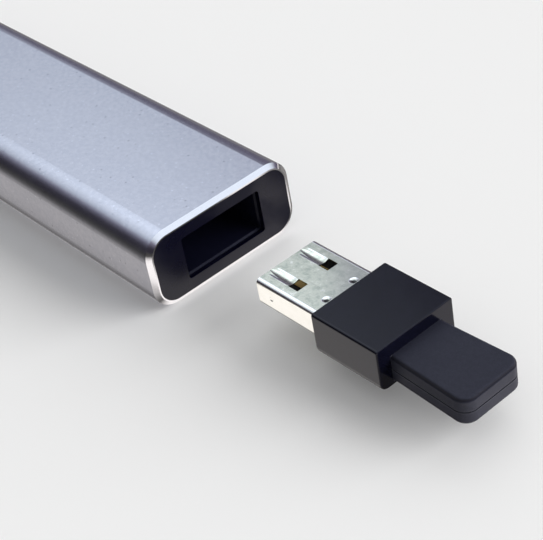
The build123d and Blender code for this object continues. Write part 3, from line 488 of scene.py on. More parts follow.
@dataclass(frozen=True)
class PlatedSheet(Finish):
    """Folded, plated sheet: its broad faces stained, and painted darker than its walls as shade.

    Attributes:
        middle: Height of the plug's middle.
        tip: Place of its tip along the clicker.
        broad: Half the width and half the height at which the broad faces start.
        fade: Distance over which the broad faces' painted shade and marks set in.
        marked: Colour of the broad faces, darker than the walls as painted shade.
        stain: Colour of the stains there.
        bright: Colour of the bright patches there.
        stain_size: Size of the stains.
        stain_turn: Values of the pattern between which the stains set in.
        bright_turn: The same for the bright patches.
        painted_highlight: Colour of the highlights painted on the ramps' rails and the dimples' rings.
        ramp_y: Distance of the two ramps from the plug's middle.
        ramp_half: Half the width of a ramp.
        ramp_rail: Width of a ramp's rails, which carry a painted highlight.
        ramp_reach: Distances behind the tip at which the rails fade in and out again.
        ramp_depth: How much deeper the ramp's bed is pressed.
        dimple: Distances of the two dimples behind the tip and from the plug's middle.
        dimple_ring: Radius of a dimple's ring of painted highlight.
        dimple_eye: Radius of the painted shade in its middle.
        dimple_shade: Colour of that painted shade.
        far_shade: Colour of the painted shade that darkens the broad faces towards the block.
        far_shade_reach: Distances between which that painted shade sets in, behind the tip and to the
            right.
        far_shade_share: How far it darkens them.
    """

    middle: float = 0.0
    tip: float = 0.0
    broad: tuple[float, float] = (1.0, 1.0)
    fade: float = 0.15 * MM
    marked: Colour = (0.77, 0.79, 0.66)
    stain: Colour = (0.61, 0.65, 0.545)
    bright: Colour = (0.99, 0.99, 0.88)
    stain_size: float = 1.1 * MM
    stain_turn: tuple[float, float] = (0.54, 0.36)
    bright_turn: tuple[float, float] = (0.58, 0.70)
    painted_highlight: Colour = (0.99, 0.99, 0.96)
    ramp_y: float = 3.0 * MM
    ramp_half: float = 0.85 * MM
    ramp_rail: float = 0.32 * MM
    ramp_reach: tuple[float, float, float, float] = (0.5 * MM, 1.6 * MM, 4.3 * MM, 5.2 * MM)
    ramp_depth: float = 0.05 * MM
    dimple: tuple[float, float] = (11.8 * MM, 2.7 * MM)
    dimple_ring: float = 0.66 * MM
    dimple_eye: float = 0.48 * MM
    dimple_shade: Colour = (0.04, 0.04, 0.04)
    far_shade: Colour = (0.46, 0.45, 0.43)
    far_shade_reach: tuple[float, float] = (6.0 * MM, 15.0 * MM)
    far_shade_share: float = 0.6

    def ramp_place(self, tree: Tree, place: Socket) -> tuple[Socket, Socket]:
        """Measures the way to the nearer ramp.

        Args:
            tree: The material's nodes.
            place: The object coordinates.

        Returns:
            The distance from the ramp's middle line, and the mask of the ramp's length.
        """
        parts = tree.add("SeparateXYZ", {"Vector": place})
        behind = tree.math("SUBTRACT", self.tip, parts.outputs["X"])
        aside = tree.math("SUBTRACT", tree.math("ABSOLUTE", parts.outputs["Y"]), self.ramp_y)
        start, full, fading, end = self.ramp_reach
        along = tree.math("MULTIPLY", tree.ramp(behind, start, full), tree.ramp(behind, end, fading))
        return tree.math("ABSOLUTE", aside), along

    def ramp_rail_highlights(self, tree: Tree, place: Socket) -> Socket:
        """Finds the rails of the two ramps, where a highlight is painted.

        Args:
            tree: The material's nodes.
            place: The object coordinates.

        Returns:
            Their mask.
        """
        aside, along = self.ramp_place(tree, place)
        away = tree.math("ABSOLUTE", tree.math("SUBTRACT", aside, self.ramp_half))
        return tree.math("MULTIPLY", tree.ramp(away, self.ramp_rail, 0.0), along)

    def dimple_masks(self, tree: Tree, place: Socket) -> tuple[Socket, Socket]:
        """Finds the two dimples.

        Args:
            tree: The material's nodes.
            place: The object coordinates.

        Returns:
            The mask of their rings, which carry a painted highlight, and that of their middles, which
            carry painted shade.
        """
        parts = tree.add("SeparateXYZ", {"Vector": place})
        behind, aside = self.dimple
        from_x = tree.math("SUBTRACT", parts.outputs["X"], self.tip - behind)
        from_y = tree.math("SUBTRACT", tree.math("ABSOLUTE", parts.outputs["Y"]), aside)
        offset = tree.add("CombineXYZ", {"X": from_x, "Y": from_y})
        away = tree.add("VectorMath", {0: offset.outputs[0]}, operation="LENGTH").outputs["Value"]
        from_ring = tree.math("ABSOLUTE", tree.math("SUBTRACT", away, self.dimple_ring))
        ring = tree.ramp(from_ring, self.dimple_ring - self.dimple_eye, 0.0)
        return ring, tree.ramp(away, self.dimple_eye, self.dimple_eye / 2)

    def dress(
        self, tree: Tree, place: Socket, colour: Socket, roughness: Socket
    ) -> tuple[Socket, Socket, Union[Socket, None]]:
        """Paints shade and stains on the broad faces, and highlights and shade on the upper one's ramps
        and dimples.

        Args:
            tree: The material's nodes.
            place: The object coordinates.
            colour: The grain's colour.
            roughness: The roughness with the marks of handling.

        Returns:
            The colour, the roughness and, where it varies, the metal share.
        """
        parts = tree.add("SeparateXYZ", {"Vector": place})
        height = tree.math("SUBTRACT", parts.outputs["Z"], self.middle)
        half_width, half_height = self.broad
        high = tree.ramp(tree.math("ABSOLUTE", height), half_height - self.fade, half_height)
        aside = tree.math("ABSOLUTE", parts.outputs["Y"])
        inside = tree.ramp(aside, half_width, half_width - self.fade)
        broad = tree.math("MULTIPLY", high, inside)
        stains = tree.add(
            "TexNoise",
            {"Vector": place, "Scale": 1.0 / self.stain_size, "Detail": 5.0, "Roughness": 0.62},
        ).outputs["Fac"]
        # The broad faces start darker than the walls, as painted shade, and take stains and bright
        # patches.
        marked = tree.mix(tree.ramp(stains, *self.stain_turn), self.marked, self.stain)
        marked = tree.mix(tree.ramp(stains, *self.bright_turn), marked, self.bright)
        behind = tree.math("SUBTRACT", self.tip, parts.outputs["X"])
        cornerwards = tree.math("SUBTRACT", behind, parts.outputs["Y"])
        # The broad faces darken towards the block and the right: painted shade.
        far_shade_mask = tree.ramp(cornerwards, *self.far_shade_reach, 0.0, self.far_shade_share)
        marked = tree.mix(far_shade_mask, marked, self.far_shade)
        ring, shaded_middle = self.dimple_masks(tree, place)
        # The ramps' rails and the dimples' rings are lightened: painted highlights.
        highlight_mask = tree.math("MAXIMUM", self.ramp_rail_highlights(tree, place), ring)
        marked = tree.mix(highlight_mask, marked, self.painted_highlight)
        # The dimples' middles are darkened: painted shade.
        marked = tree.mix(shaded_middle, marked, self.dimple_shade)
        upper = tree.math("GREATER_THAN", height, 0.0)
        # Both broad faces keep the painted shade; only the upper one also carries the stains, painted
        # highlights and painted shade built above.
        colour = tree.mix(broad, colour, tree.mix(upper, self.marked, marked))
        return colour, roughness, None

    def relief(self, tree: Tree, place: Socket, height: Socket) -> Socket:
        """Presses the ramps' beds a little deeper.

        Args:
            tree: The material's nodes.
            place: The object coordinates.
            height: The relief of the grain and the scratches.

        Returns:
            The relief.
        """
        aside, along = self.ramp_place(tree, place)
        outer = self.ramp_half + self.ramp_rail / 2
        inner = self.ramp_half - self.ramp_rail / 2
        bed = tree.math("MULTIPLY", tree.ramp(aside, outer, inner), along)
        return tree.math("SUBTRACT", height, tree.math("MULTIPLY", bed, self.ramp_depth / MM))


@dataclass(frozen=True)
class CircuitLaminate(Finish):
    """Solder-masked circuit board with copper tracks and tinned pads under the mask.

    Attributes:
        track: Colour of the tracks under the mask.
        tracks_per_metre: Scale of the tracks' pattern.
        track_width: Width of a track, as a share of that pattern.
        track_blur: How softly its sides end.
        pad: Colour of the bare pads.
        pad_spacing: Distance between them.
        pad_radius: Their radius, as a share of that distance.
        pad_share: Share of the places for pads that have one.
        pad_edge: Level of the pads' pattern at which their edge lies.
    """

    track: Colour = (0.04, 0.27, 0.12)
    tracks_per_metre: float = 520.0
    track_width: float = 0.13
    track_blur: float = 0.1
    pad: Colour = (0.72, 0.70, 0.62)
    pad_spacing: float = 1.8 * MM
    pad_radius: float = 0.3
    pad_share: float = 0.4
    pad_edge: float = 0.3

    def dress(
        self, tree: Tree, place: Socket, colour: Socket, roughness: Socket
    ) -> tuple[Socket, Socket, Union[Socket, None]]:
        """Adds the tracks and the pads.

        Args:
            tree: The material's nodes.
            place: The object coordinates.
            colour: The grain's colour.
            roughness: The roughness with the marks of handling.

        Returns:
            The colour, the roughness and, where it varies, the metal share.
        """
        tracks = {
            "Vector": place, "Scale": self.tracks_per_metre, "Mortar Size": self.track_width,
            "Mortar Smooth": self.track_blur,
        }
        colour = tree.mix(tree.add("TexBrick", tracks).outputs["Fac"], colour, self.track)
        pads = {
            "Vector": place, "Spacing": self.pad_spacing, "Radius": self.pad_radius,
            "Share": self.pad_share,
        }
        mask = tree.group(speck_group(), pads).outputs["Mask"]
        bare = tree.math("GREATER_THAN", mask, self.pad_edge)
        return tree.mix(bare, colour, self.pad), roughness, bare


@dataclass(frozen=True)
class WirePair(Finish):
    """The insulation of two wires that lie side by side, each in its own colour.

    Attributes:
        left: Colour of the wire on the left.
    """

    left: Colour = (0.1, 0.1, 0.1)

    def dress(
        self, tree: Tree, place: Socket, colour: Socket, roughness: Socket
    ) -> tuple[Socket, Socket, Union[Socket, None]]:
        """Paints the wire on the left.

        Args:
            tree: The material's nodes.
            place: The object coordinates.
            colour: The grain's colour.
            roughness: The roughness with the marks of handling.

        Returns:
            The colour, the roughness and, where it varies, the metal share.
        """
        across = tree.add("SeparateXYZ", {"Vector": place}).outputs["Y"]
        past_middle = tree.math("GREATER_THAN", across, 0.0)
        return tree.mix(past_middle, colour, self.left), roughness, None


@dataclass(frozen=True)
class GroovedGrip(Finish):
    """Soft black plastic with a fine groove round its side, above the seam, darkened with painted shade.

    Attributes:
        groove_height: Height of the groove's middle.
        groove_half: Half its width.
        groove_depth: Its depth.
        groove_shade: Colour of the painted shade in it.
    """

    groove_height: float = 0.0
    groove_half: float = 0.28 * MM
    groove_depth: float = 0.12 * MM
    groove_shade: Colour = (0.006, 0.006, 0.012)

    def groove(self, tree: Tree, place: Socket) -> Socket:
        """Finds the groove.

        Args:
            tree: The material's nodes.
            place: The object coordinates.

        Returns:
            Its mask.
        """
        height = tree.add("SeparateXYZ", {"Vector": place}).outputs["Z"]
        away = tree.math("ABSOLUTE", tree.math("SUBTRACT", height, self.groove_height))
        return tree.ramp(away, self.groove_half, 0.0)

    def dress(
        self, tree: Tree, place: Socket, colour: Socket, roughness: Socket
    ) -> tuple[Socket, Socket, Union[Socket, None]]:
        """Darkens the groove with painted shade."""
        return tree.mix(self.groove(tree, place), colour, self.groove_shade), roughness, None

    def relief(self, tree: Tree, place: Socket, height: Socket) -> Socket:
        """Presses the groove in."""
        depth = tree.math("MULTIPLY", self.groove(tree, place), self.groove_depth / MM)
        return tree.math("SUBTRACT", height, depth)


@dataclass(frozen=True)
class ClearFinish(Finish):
    """Glass or clear plastic.

    Attributes:
        index: Its index of refraction.
    """

    index: float = 1.49

    def set_constants(self, shader: bpy.types.Node) -> None:
        """Sets the shader's own values, and lets light through.

        Args:
            shader: The material's shader.
        """
        super().set_constants(shader)
        shader.inputs["Transmission Weight"].default_value = 1.0
        shader.inputs["IOR"].default_value = self.index


# A black's red, green and blue beside its level, and the blue that comes on top of that.
BLACK_TONE = (1.0, 1.05, 1.2)
BLUE_CAST = 0.009

# How light a grain's pits are beside its crests.
BLACK_PITS = 0.75
METAL_PITS = 0.86


def black(name: str, level: float, cast: float = BLUE_CAST, **more: object) -> Finish:
    """Makes a black plastic, its pits a little darker.

    Args:
        name: The material's name.
        level: How light it is.
        cast: How much blue is added.
        more: Other values of the finish.

    Returns:
        The finish.
    """
    red, green, blue = (level * tone for tone in BLACK_TONE)
    colour = (red, green, blue + cast)
    return Finish(name, colour, tuple(BLACK_PITS * part for part in colour), **more)


def metal(name: str, colour: Colour, **more: object) -> Finish:
    """Makes a bare or plated metal, its pits a little darker."""
    pits = tuple(METAL_PITS * part for part in colour)
    return Finish(name, colour, pits, metallic=1.0, **more)


# The tube's ends, the plug's corners and the top of the tab.
TAIL_X, NOSE_X = (corner.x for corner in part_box("body_tube"))
PLUG_LOW, PLUG_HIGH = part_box("plug_shell")
GRIP_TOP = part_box("grip_upper")[1].z

# Length of the tube's polished lips, width and depth of the plug's rounded edges, and how far the
# groove in the tab lies below its top.
LIP_LENGTH = 0.65 * MM
EDGE_WIDTH = 0.75 * MM
EDGE_DEPTH = 0.25 * MM
GROOVE_DROP = 1.0 * MM

ALUMINIUM = AnodisedAluminium(
    "tube_aluminium", (0.72, 0.73, 0.785), (0.68, 0.69, 0.745), metallic=1.0,
    roughness=0.255, smudged=0.27, grain_size=0.22 * MM, grain_depth=0.005 * MM,
    scratch_depth=0.0, lip_start=NOSE_X - LIP_LENGTH,
)
CAP_BLACK = black(
    "cap_satin_black", 0.001, cast=0.007, roughness=0.27, specular=0.38, grain_size=0.12 * MM,
)
BAY_BLACK = black(
    "bay_black", 0.006, roughness=0.36, specular=0.16, grain_size=0.2 * MM, rim=0.03,
    rim_radius=0.10 * MM,
)
PANEL_BLACK = black("panel_satin_black", 0.014, roughness=0.38, specular=0.35, grain_size=0.12 * MM)
KEY_BLACK = black(
    "key_satin_black", 0.020, roughness=0.44, smudged=0.36, specular=0.4, grain_size=0.10 * MM,
    grain_depth=0.006 * MM, rim=0.05,
)
GLOSS_BLACK = black(
    "block_gloss_black", 0.003, cast=0.006, roughness=0.15, smudged=0.22, specular=0.30,
    grain_size=0.9 * MM, grain_depth=0.004 * MM, scratch_depth=0.0015 * MM, rim=0.035,
    rim_radius=0.12 * MM,
)
GRIP_BLACK = GroovedGrip(
    "grip_soft_black", (0.023, 0.024, 0.037), (0.017, 0.018, 0.028), roughness=0.62,
    smudged=0.54, specular=0.22, grain_size=0.14 * MM, grain_depth=0.010 * MM, rim=0.035,
    rim_radius=0.45 * MM, groove_height=GRIP_TOP - GROOVE_DROP,
)
TONGUE_BLACK = black("tongue_black", 0.012, roughness=0.5)
FRAME_BLACK = black("frame_moulded_black", 0.03, roughness=0.55, grain_size=0.3 * MM)
SWITCH_BLACK = black("switch_housing_black", 0.035, roughness=0.5, grain_size=0.2 * MM)
CHIP_BLACK = black("chip_moulding", 0.022, roughness=0.62, grain_size=0.10 * MM, grain_depth=0.008 * MM)
# The plug's broad faces are painted darker than its walls as shade; its ramps and dimples carry painted
# highlights and shade.
PLATED_STEEL = PlatedSheet(
    "plug_steel", (0.98, 0.98, 0.92), (0.95, 0.95, 0.88), metallic=1.0, roughness=0.16,
    smudged=0.24, grain_size=1.6 * MM, grain_depth=0.012 * MM, scratch_depth=0.003 * MM,
    middle=(PLUG_LOW.z + PLUG_HIGH.z) / 2, tip=PLUG_HIGH.x,
    broad=(PLUG_HIGH.y - EDGE_WIDTH, (PLUG_HIGH.z - PLUG_LOW.z) / 2 - EDGE_DEPTH),
)
CONTACT_GOLD = metal("contact_plating", (0.83, 0.62, 0.28), roughness=0.24, smudged=0.34)
BARREL_BRASS = metal(
    "turned_brass", (0.78, 0.60, 0.30), roughness=0.28, grain_run=GrainRun.LENGTHWISE,
    grain_size=0.9 * MM, grain_depth=0.01 * MM,
)
ZINC = metal("zinc_plate", (0.62, 0.63, 0.66), roughness=0.34, grain_size=0.3 * MM)
CAN_STEEL = metal("can_steel", (0.74, 0.75, 0.74), roughness=0.22, grain_size=0.6 * MM)
MAGNET_NICKEL = metal("magnet_nickel", (0.70, 0.69, 0.66), roughness=0.2, grain_size=0.4 * MM)
POUCH_FOIL = metal(
    "cell_foil", (0.68, 0.69, 0.71), roughness=0.45, smudged=0.55, grain_size=2.2 * MM,
    grain_depth=0.06 * MM,
)
FOAM_TAPE = Finish(
    "tape_foam", (0.74, 0.73, 0.70), (0.55, 0.54, 0.51), roughness=0.9, grain_size=0.35 * MM,
    grain_depth=0.05 * MM,
)
LAMINATE = CircuitLaminate(
    "circuit_laminate", (0.012, 0.12, 0.05), (0.010, 0.10, 0.04), roughness=0.32, coat=0.3,
)
WIRES = WirePair(
    "lead_insulation", (0.018, 0.018, 0.02), (0.014, 0.014, 0.016), roughness=0.45,
    left=(0.52, 0.02, 0.02),
)
NYLON = Finish("natural_nylon", (0.72, 0.68, 0.58), (0.66, 0.62, 0.52), roughness=0.45)
ACTUATOR = Finish("actuator_plastic", (0.76, 0.76, 0.72), (0.70, 0.70, 0.66), roughness=0.42)
CERAMIC = Finish("ceramic_body", (0.46, 0.33, 0.20), (0.40, 0.28, 0.17), roughness=0.4)
LAMP_RESIN = Finish(
    "amber_resin", (0.85, 0.80, 0.55), (0.80, 0.74, 0.48), roughness=0.3, coat=0.4,
)
LEGEND_WHITE = Finish(
    "legend_ink", (0.62, 0.63, 0.66), (0.54, 0.55, 0.58), roughness=0.55, grain_size=0.08 * MM,
)
CLEAR_LENS = ClearFinish(
    "clear_lens", (0.96, 0.97, 1.0), (0.95, 0.96, 0.99), roughness=0.03, smudged=0.08,
    grain_depth=0.0,
)
LIGHT_PIPE = ClearFinish(
    "frosted_pipe", (0.93, 0.95, 0.97), (0.90, 0.92, 0.95), roughness=0.28, smudged=0.34,
)


def paint(node: str, finish: Finish) -> bpy.types.Object:
    """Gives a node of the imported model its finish.

    Args:
        node: The node's name.
        finish: Its finish.

    Returns:
        The node's object.
    """
    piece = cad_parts[node]
    piece.data.materials.clear()
    piece.data.materials.append(finish.material())
    return piece


def new_piece(
    name: str, mesh: bmesh.types.BMesh, finish: Finish, body: str
) -> bpy.types.Object:
    """Turns a finished bmesh into a piece of the object.

    Args:
        name: The piece's name.
        mesh: Its shape, in place. It is freed.
        finish: Its finish.
        body: The body that it rides on.

    Returns:
        The piece.
    """
    bmesh.ops.recalc_face_normals(mesh, faces=mesh.faces)
    data = bpy.data.meshes.new(name)
    mesh.to_mesh(data)
    mesh.free()
    data.materials.append(finish.material())
    piece = bpy.data.objects.new(name, data)
    bpy.context.scene.collection.objects.link(piece)
    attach(piece, body)
    return piece


class Assembly:
    """A sub-assembly of the clicker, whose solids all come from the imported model.

    Attributes:
        finishes: The finish of each of its nodes.
    """

    finishes: ClassVar[dict[str, Finish]] = {}

    def build(self) -> list[bpy.types.Object]:
        """Builds the sub-assembly, and returns its pieces."""
        return self.dress()

    def dress(self) -> list[bpy.types.Object]:
        """Gives its nodes their finishes, and returns them."""
        return [paint(node, finish) for node, finish in self.finishes.items()]


class Housing(Assembly):
    """The tube, its two end plates, and the bay behind the tail plate."""

    finishes = {
        "body_tube": ALUMINIUM, "tail_cap": CAP_BLACK, "nose_cap": CAP_BLACK,
        "receiver_tray": BAY_BLACK, "receiver_magnet": MAGNET_NICKEL, "inner_frame": FRAME_BLACK,
    }


@dataclass
class KeyDeck(Assembly):
    """The flush panel with its keys, their inked legends and the lamp's light pipe.

    Attributes:
        chevron_length: Length of an arrowhead along the clicker.
        chevron_width: Width of an arrowhead.
        stroke: Width of its stroke.
        recess: Depth of the legends' recess below the key's dish or crown.
        ink: Thickness of the ink in the recess.
        ink_gap: Room between the ink and the recess's wall.
        dish: Depth of the finger dish.
        ring_radius: Outer radius of the laser key's ring.
        ring_width: Width of that ring.
        ring_steps: How many steps it is turned in.
        merge: Distance under which corners that meet become one.
    """

    finishes: ClassVar[dict[str, Finish]] = {
        "key_panel": PANEL_BLACK, "light_pipe": LIGHT_PIPE, "page_down_key": KEY_BLACK,
        "page_up_key": KEY_BLACK, "laser_key": KEY_BLACK,
    }

    chevron_length: float = 2.2 * MM
    chevron_width: float = 4.2 * MM
    stroke: float = 0.8 * MM
    recess: float = 0.25 * MM
    ink: float = 0.2 * MM
    ink_gap: float = 0.03 * MM
    dish: float = 0.3 * MM
    ring_radius: float = 3.4 * MM
    ring_width: float = 0.5 * MM
    ring_steps: int = 72
    merge: float = 0.003 * MM

    def build(self) -> list[bpy.types.Object]:
        """Dresses the deck and makes its legends, and returns its pieces."""
        arrows = [self.arrow("page_down", 1.0), self.arrow("page_up", -1.0)]
        return [*self.dress(), *arrows, self.ring()]

    def top_middle(self, key: str) -> Vector:
        """Finds the middle of a key's crown."""
        low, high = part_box(key)
        return Vector(((low.x + high.x) / 2, (low.y + high.y) / 2, high.z))

    def arrow(self, body: str, heading: float) -> bpy.types.Object:
        """Makes the ink in a page key's arrowhead.

        Args:
            body: The key's body.
            heading: 1 where the arrowhead points to the nose, -1 to the tail.

        Returns:
            The ink.
        """
        middle = self.top_middle(body + "_key")
        floor = middle.z - self.dish - self.recess
        half = self.stroke / 2 - self.ink_gap
        tip = Vector((middle.x + heading * self.chevron_length / 2, 0.0))
        mesh = bmesh.new()
        for side in (1.0, -1.0):
            end = tip + Vector((-heading * self.chevron_length, side * self.chevron_width / 2))
            arm = (end - tip).normalized()
            outward = Vector((heading * abs(arm.y), side * abs(arm.x))) * half
            mitre = Vector((heading * half / abs(arm.y), 0.0))
            outline = (tip - mitre, tip + mitre, end + outward, end - outward)
            mesh.faces.new([mesh.verts.new((*corner, floor)) for corner in outline])
        bmesh.ops.remove_doubles(mesh, verts=mesh.verts, dist=self.merge)
        self.thicken(mesh)
        return new_piece(body + "_legend", mesh, LEGEND_WHITE, body)

    def ring(self) -> bpy.types.Object:
        """Makes the ink in the laser key's ring.

        Returns:
            The ink.
        """
        middle = self.top_middle("laser_key")
        mesh = bmesh.new()
        outer = self.ring_radius - self.ink_gap
        inner = self.ring_radius - self.ring_width + self.ink_gap
        floor = middle.z - self.recess
        top = floor + self.ink
        section = ((inner, floor), (outer, floor), (outer, top), (inner, top))
        corners = [mesh.verts.new((middle.x + radius, 0.0, height)) for radius, height in section]
        edges = [mesh.edges.new(pair) for pair in zip(corners, corners[1:] + corners[:1])]
        bmesh.ops.spin(
            mesh, geom=corners + edges, cent=(middle.x, 0.0, 0.0), axis=(0.0, 0.0, 1.0),
            angle=2 * math.pi, steps=self.ring_steps, use_merge=True,
        )
        bmesh.ops.remove_doubles(mesh, verts=mesh.verts, dist=self.merge)
        return new_piece("laser_legend", mesh, LEGEND_WHITE, "laser_button")

    def thicken(self, mesh: bmesh.types.BMesh) -> None:
        """Gives a flat legend the thickness of its ink, upwards.

        Args:
            mesh: The legend, whose faces all lie on its recess's floor.
        """
        made = bmesh.ops.extrude_face_region(mesh, geom=list(mesh.faces))
        lifted = [v for v in made["geom"] if isinstance(v, bmesh.types.BMVert)]
        bmesh.ops.translate(mesh, verts=lifted, vec=(0.0, 0.0, self.ink))


class Controls(Assembly):
    """The power slider in the left side and the charging port in the right side."""

    finishes = {
        "power_slider": KEY_BLACK, "power_lever": ACTUATOR, "power_switch": SWITCH_BLACK,
        "port_shell": CAN_STEEL, "port_tongue": TONGUE_BLACK,
    }


class Laser(Assembly):
    """The laser and the window in front of it."""

    finishes = {
        "laser_barrel": BARREL_BRASS, "laser_lens": CLEAR_LENS, "laser_diode": CONTACT_GOLD,
        "nose_window": CLEAR_LENS,
    }


class Electronics(Assembly):
    """The battery, the circuit board and what it carries."""

    finishes = {
        "battery_cell": POUCH_FOIL, "battery_tape": FOAM_TAPE, "cell_protector": LAMINATE,
        "battery_leads": WIRES, "battery_connector": NYLON, "main_board": LAMINATE,
        "board_screws": ZINC, "tact_switches": SWITCH_BLACK, "radio_chip": CHIP_BLACK,
        "radio_crystal": CAN_STEEL, "board_capacitors": CERAMIC, "status_lamp": LAMP_RESIN,
        "page_down_plunger": ACTUATOR, "page_up_plunger": ACTUATOR, "laser_plunger": ACTUATOR,
    }


class Receiver(Assembly):
    """The radio receiver: folded plug, glossy block and soft grip tab."""

    finishes = {
        "plug_shell": PLATED_STEEL, "plug_tongue": TONGUE_BLACK, "plug_contacts": CONTACT_GOLD,
        "receiver_sleeve": GLOSS_BLACK, "receiver_face": GLOSS_BLACK, "receiver_board": LAMINATE,
        "receiver_chip": CHIP_BLACK, "grip_upper": GRIP_BLACK, "grip_lower": GRIP_BLACK,
    }


def direction(azimuth: float, elevation: float) -> Vector:
    """Finds the way to an azimuth from +X towards +Y and an elevation, both in degrees."""
    a, e = math.radians(azimuth), math.radians(elevation)
    return Vector((math.cos(e) * math.cos(a), math.cos(e) * math.sin(a), math.sin(e)))


@dataclass(frozen=True)
class SoftLamp:
    """A wide, soft and distant lamp.

    Attributes:
        name: Its name.
        share: Share of the light on the floor that it gives.
        azimuth: Where it stands, in degrees from +X towards +Y.
        height: How high its middle stands, in degrees.
        width: How wide it is, in degrees.
    """

    name: str
    share: float
    azimuth: float
    height: float
    width: float

    def build(self) -> bpy.types.Object:
        """Makes the lamp.

        Returns:
            The lamp.
        """
        data = bpy.data.lights.new(self.name, "SUN")
        data.energy = math.pi * self.share / math.sin(math.radians(self.height))
        data.angle = math.radians(self.width)
        lamp = bpy.data.objects.new(self.name, data)
        bpy.context.scene.collection.objects.link(lamp)
        back = direction(self.azimuth, self.height)
        lamp.rotation_mode = "QUATERNION"
        lamp.rotation_quaternion = (-back).to_track_quat("-Z", "Y")
        lamp.location = back
        lamp.visible_glossy = False
        return lamp


@dataclass
class Studio:
    """The floor, the light and the camera.

    Attributes:
        floor_radius: Radius of the floor.
        floor_segments: How many sides its round edge has.
        floor_drop: How far it lies below the clicker, so that their faces don't coincide.
        floor_level: Its brightness, also that of the background.
        hole: Half-sizes of the hole under the tube, which lets light reach its underside.
        glow_reach: Distance to either side of the clicker that the glow's stops span.
        tube_glow: What metal and gloss see of the floor beside the tube, from the far right at 0
            to the far left at 1.
        plug_glow: The same beside the receiver's plug and block.
        rear_glow: The same behind the receiver's block.
        end_glow: The same behind the grip tab.
        tail_split: Distances behind the tail between which the first turns into the second.
        rear_split: Distances behind the tail between which the second turns into the third.
        end_split: Distances behind the tail between which the third turns into the last.
        glow_tint: Colour of that glow.
        dome_lean: How the dome's height is measured, as weights for X, Y and Z.
        dome: What metal and gloss see overhead, from straight down at 0 to overhead at 1.
        dome_side: Y of directions between which the dome turns even on the right, and its level there.
        dome_ahead: X of directions between which that sets in.
        dome_tint: Colour of the dome.
        dusk: Levels of the dome between which its colour turns from that of its dark parts.
        dusk_tint: Colour of its dark parts.
        fill: Brightness of the even light from all round.
        lamps: The soft lamps, one from behind on the right and a fainter one from the right.
        azimuth: Where the camera stands, in degrees from +X towards +Y.
        elevation: How high it stands, in degrees.
        roll: How far it is rolled, in degrees.
        distance: How far it is from its target.
        target: What it looks at, measured from the tail end of the tube.
        focal_pixels: Its focal length in pixels of the frame.
        clip: The nearest and the furthest that it sees.
    """

    floor_radius: float = 4.0
    floor_segments: int = 96
    floor_drop: float = 0.02 * MM
    floor_level: float = 0.871
    hole: tuple[float, float] = (NOSE_X - 1.0 * MM, 10.0 * MM)
    glow_reach: float = 60 * MM
    tube_glow: Stops = (
        (0.30, 0.26), (0.379, 0.12), (0.40, 1.0), (0.60, 1.0), (0.6175, 0.10), (0.643, 0.42),
        (0.672, 0.58), (0.71, 0.32), (0.76, 0.12), (0.95, 0.04),
    )
    plug_glow: Stops = (
        (0.285, 0.10), (0.315, 0.20), (0.34, 0.95), (0.388, 0.95), (0.405, 0.07), (0.55, 0.06),
        (0.575, 1.05), (0.725, 1.05), (0.80, 0.80), (0.975, 0.05),
    )
    rear_glow: Stops = (
        (0.285, 0.20), (0.34, 1.0), (0.42, 1.0), (0.45, 0.18), (0.56, 0.15), (0.60, 0.60),
        (0.725, 0.60), (0.975, 0.05),
    )
    end_glow: Stops = ((0.30, 1.6), (0.75, 1.6), (0.975, 0.05))
    tail_split: tuple[float, float] = (3.0 * MM, 6.0 * MM)
    rear_split: tuple[float, float] = (39.5 * MM, 41.5 * MM)
    end_split: tuple[float, float] = (54.0 * MM, 58.0 * MM)
    glow_tint: Colour = (1.0, 0.955, 0.94)
    dome_lean: tuple[float, float, float] = (0.0, -0.2, 1.0)
    dome: Stops = (
        (0.0, 0.5), (0.39, 0.4), (0.44, 0.03), (0.58, 0.04), (0.68, 0.20), (0.75, 0.74),
        (0.79, 0.96), (0.82, 1.0), (0.855, 1.0), (0.875, 1.7), (1.0, 1.7),
    )
    dome_side: tuple[float, float, float] = (-0.36, -0.62, 0.18)
    dome_ahead: tuple[float, float] = (-0.4, 0.1)
    dome_tint: Colour = (0.81, 0.88, 1.0)
    dusk: tuple[float, float] = (0.05, 0.7)
    dusk_tint: Colour = (0.78, 0.70, 1.0)
    fill: float = 0.488
    lamps: tuple[SoftLamp, ...] = (
        SoftLamp("rear_lamp", share=0.305, azimuth=-140.0, height=12.0, width=60.0),
        SoftLamp("side_lamp", share=0.145, azimuth=-60.0, height=20.0, width=80.0),
    )
    azimuth: float = 145.231
    elevation: float = 37.349
    roll: float = -11.121
    distance: float = 236.965 * MM
    target: tuple[float, float, float] = (-6.930 * MM, -2.637 * MM, 1.556 * MM)
    focal_pixels: float = 1533.54
    clip: tuple[float, float] = (10.0 * MM, 16.0)

    def build(self) -> list[bpy.types.Object]:
        """Sets up the studio.

        Returns:
            The floor, the lamps and the camera.
        """
        bpy.context.scene.view_settings.view_transform = "Standard"
        self.world()
        return [self.floor(), *(lamp.build() for lamp in self.lamps), self.camera()]

    def floor(self) -> bpy.types.Object:
        """Makes the plain pale floor, with a hole under the tube and no view from below.

        Returns:
            The floor.
        """
        mesh = bmesh.new()
        bmesh.ops.create_circle(
            mesh, cap_ends=True, segments=self.floor_segments, radius=self.floor_radius
        )
        bmesh.ops.translate(mesh, verts=mesh.verts, vec=(0.0, 0.0, -self.floor_drop))
        data = bpy.data.meshes.new("floor")
        mesh.to_mesh(data)
        mesh.free()
        floor = bpy.data.objects.new("floor", data)
        bpy.context.scene.collection.objects.link(floor)
        data.materials.append(self.floor_material())
        return floor

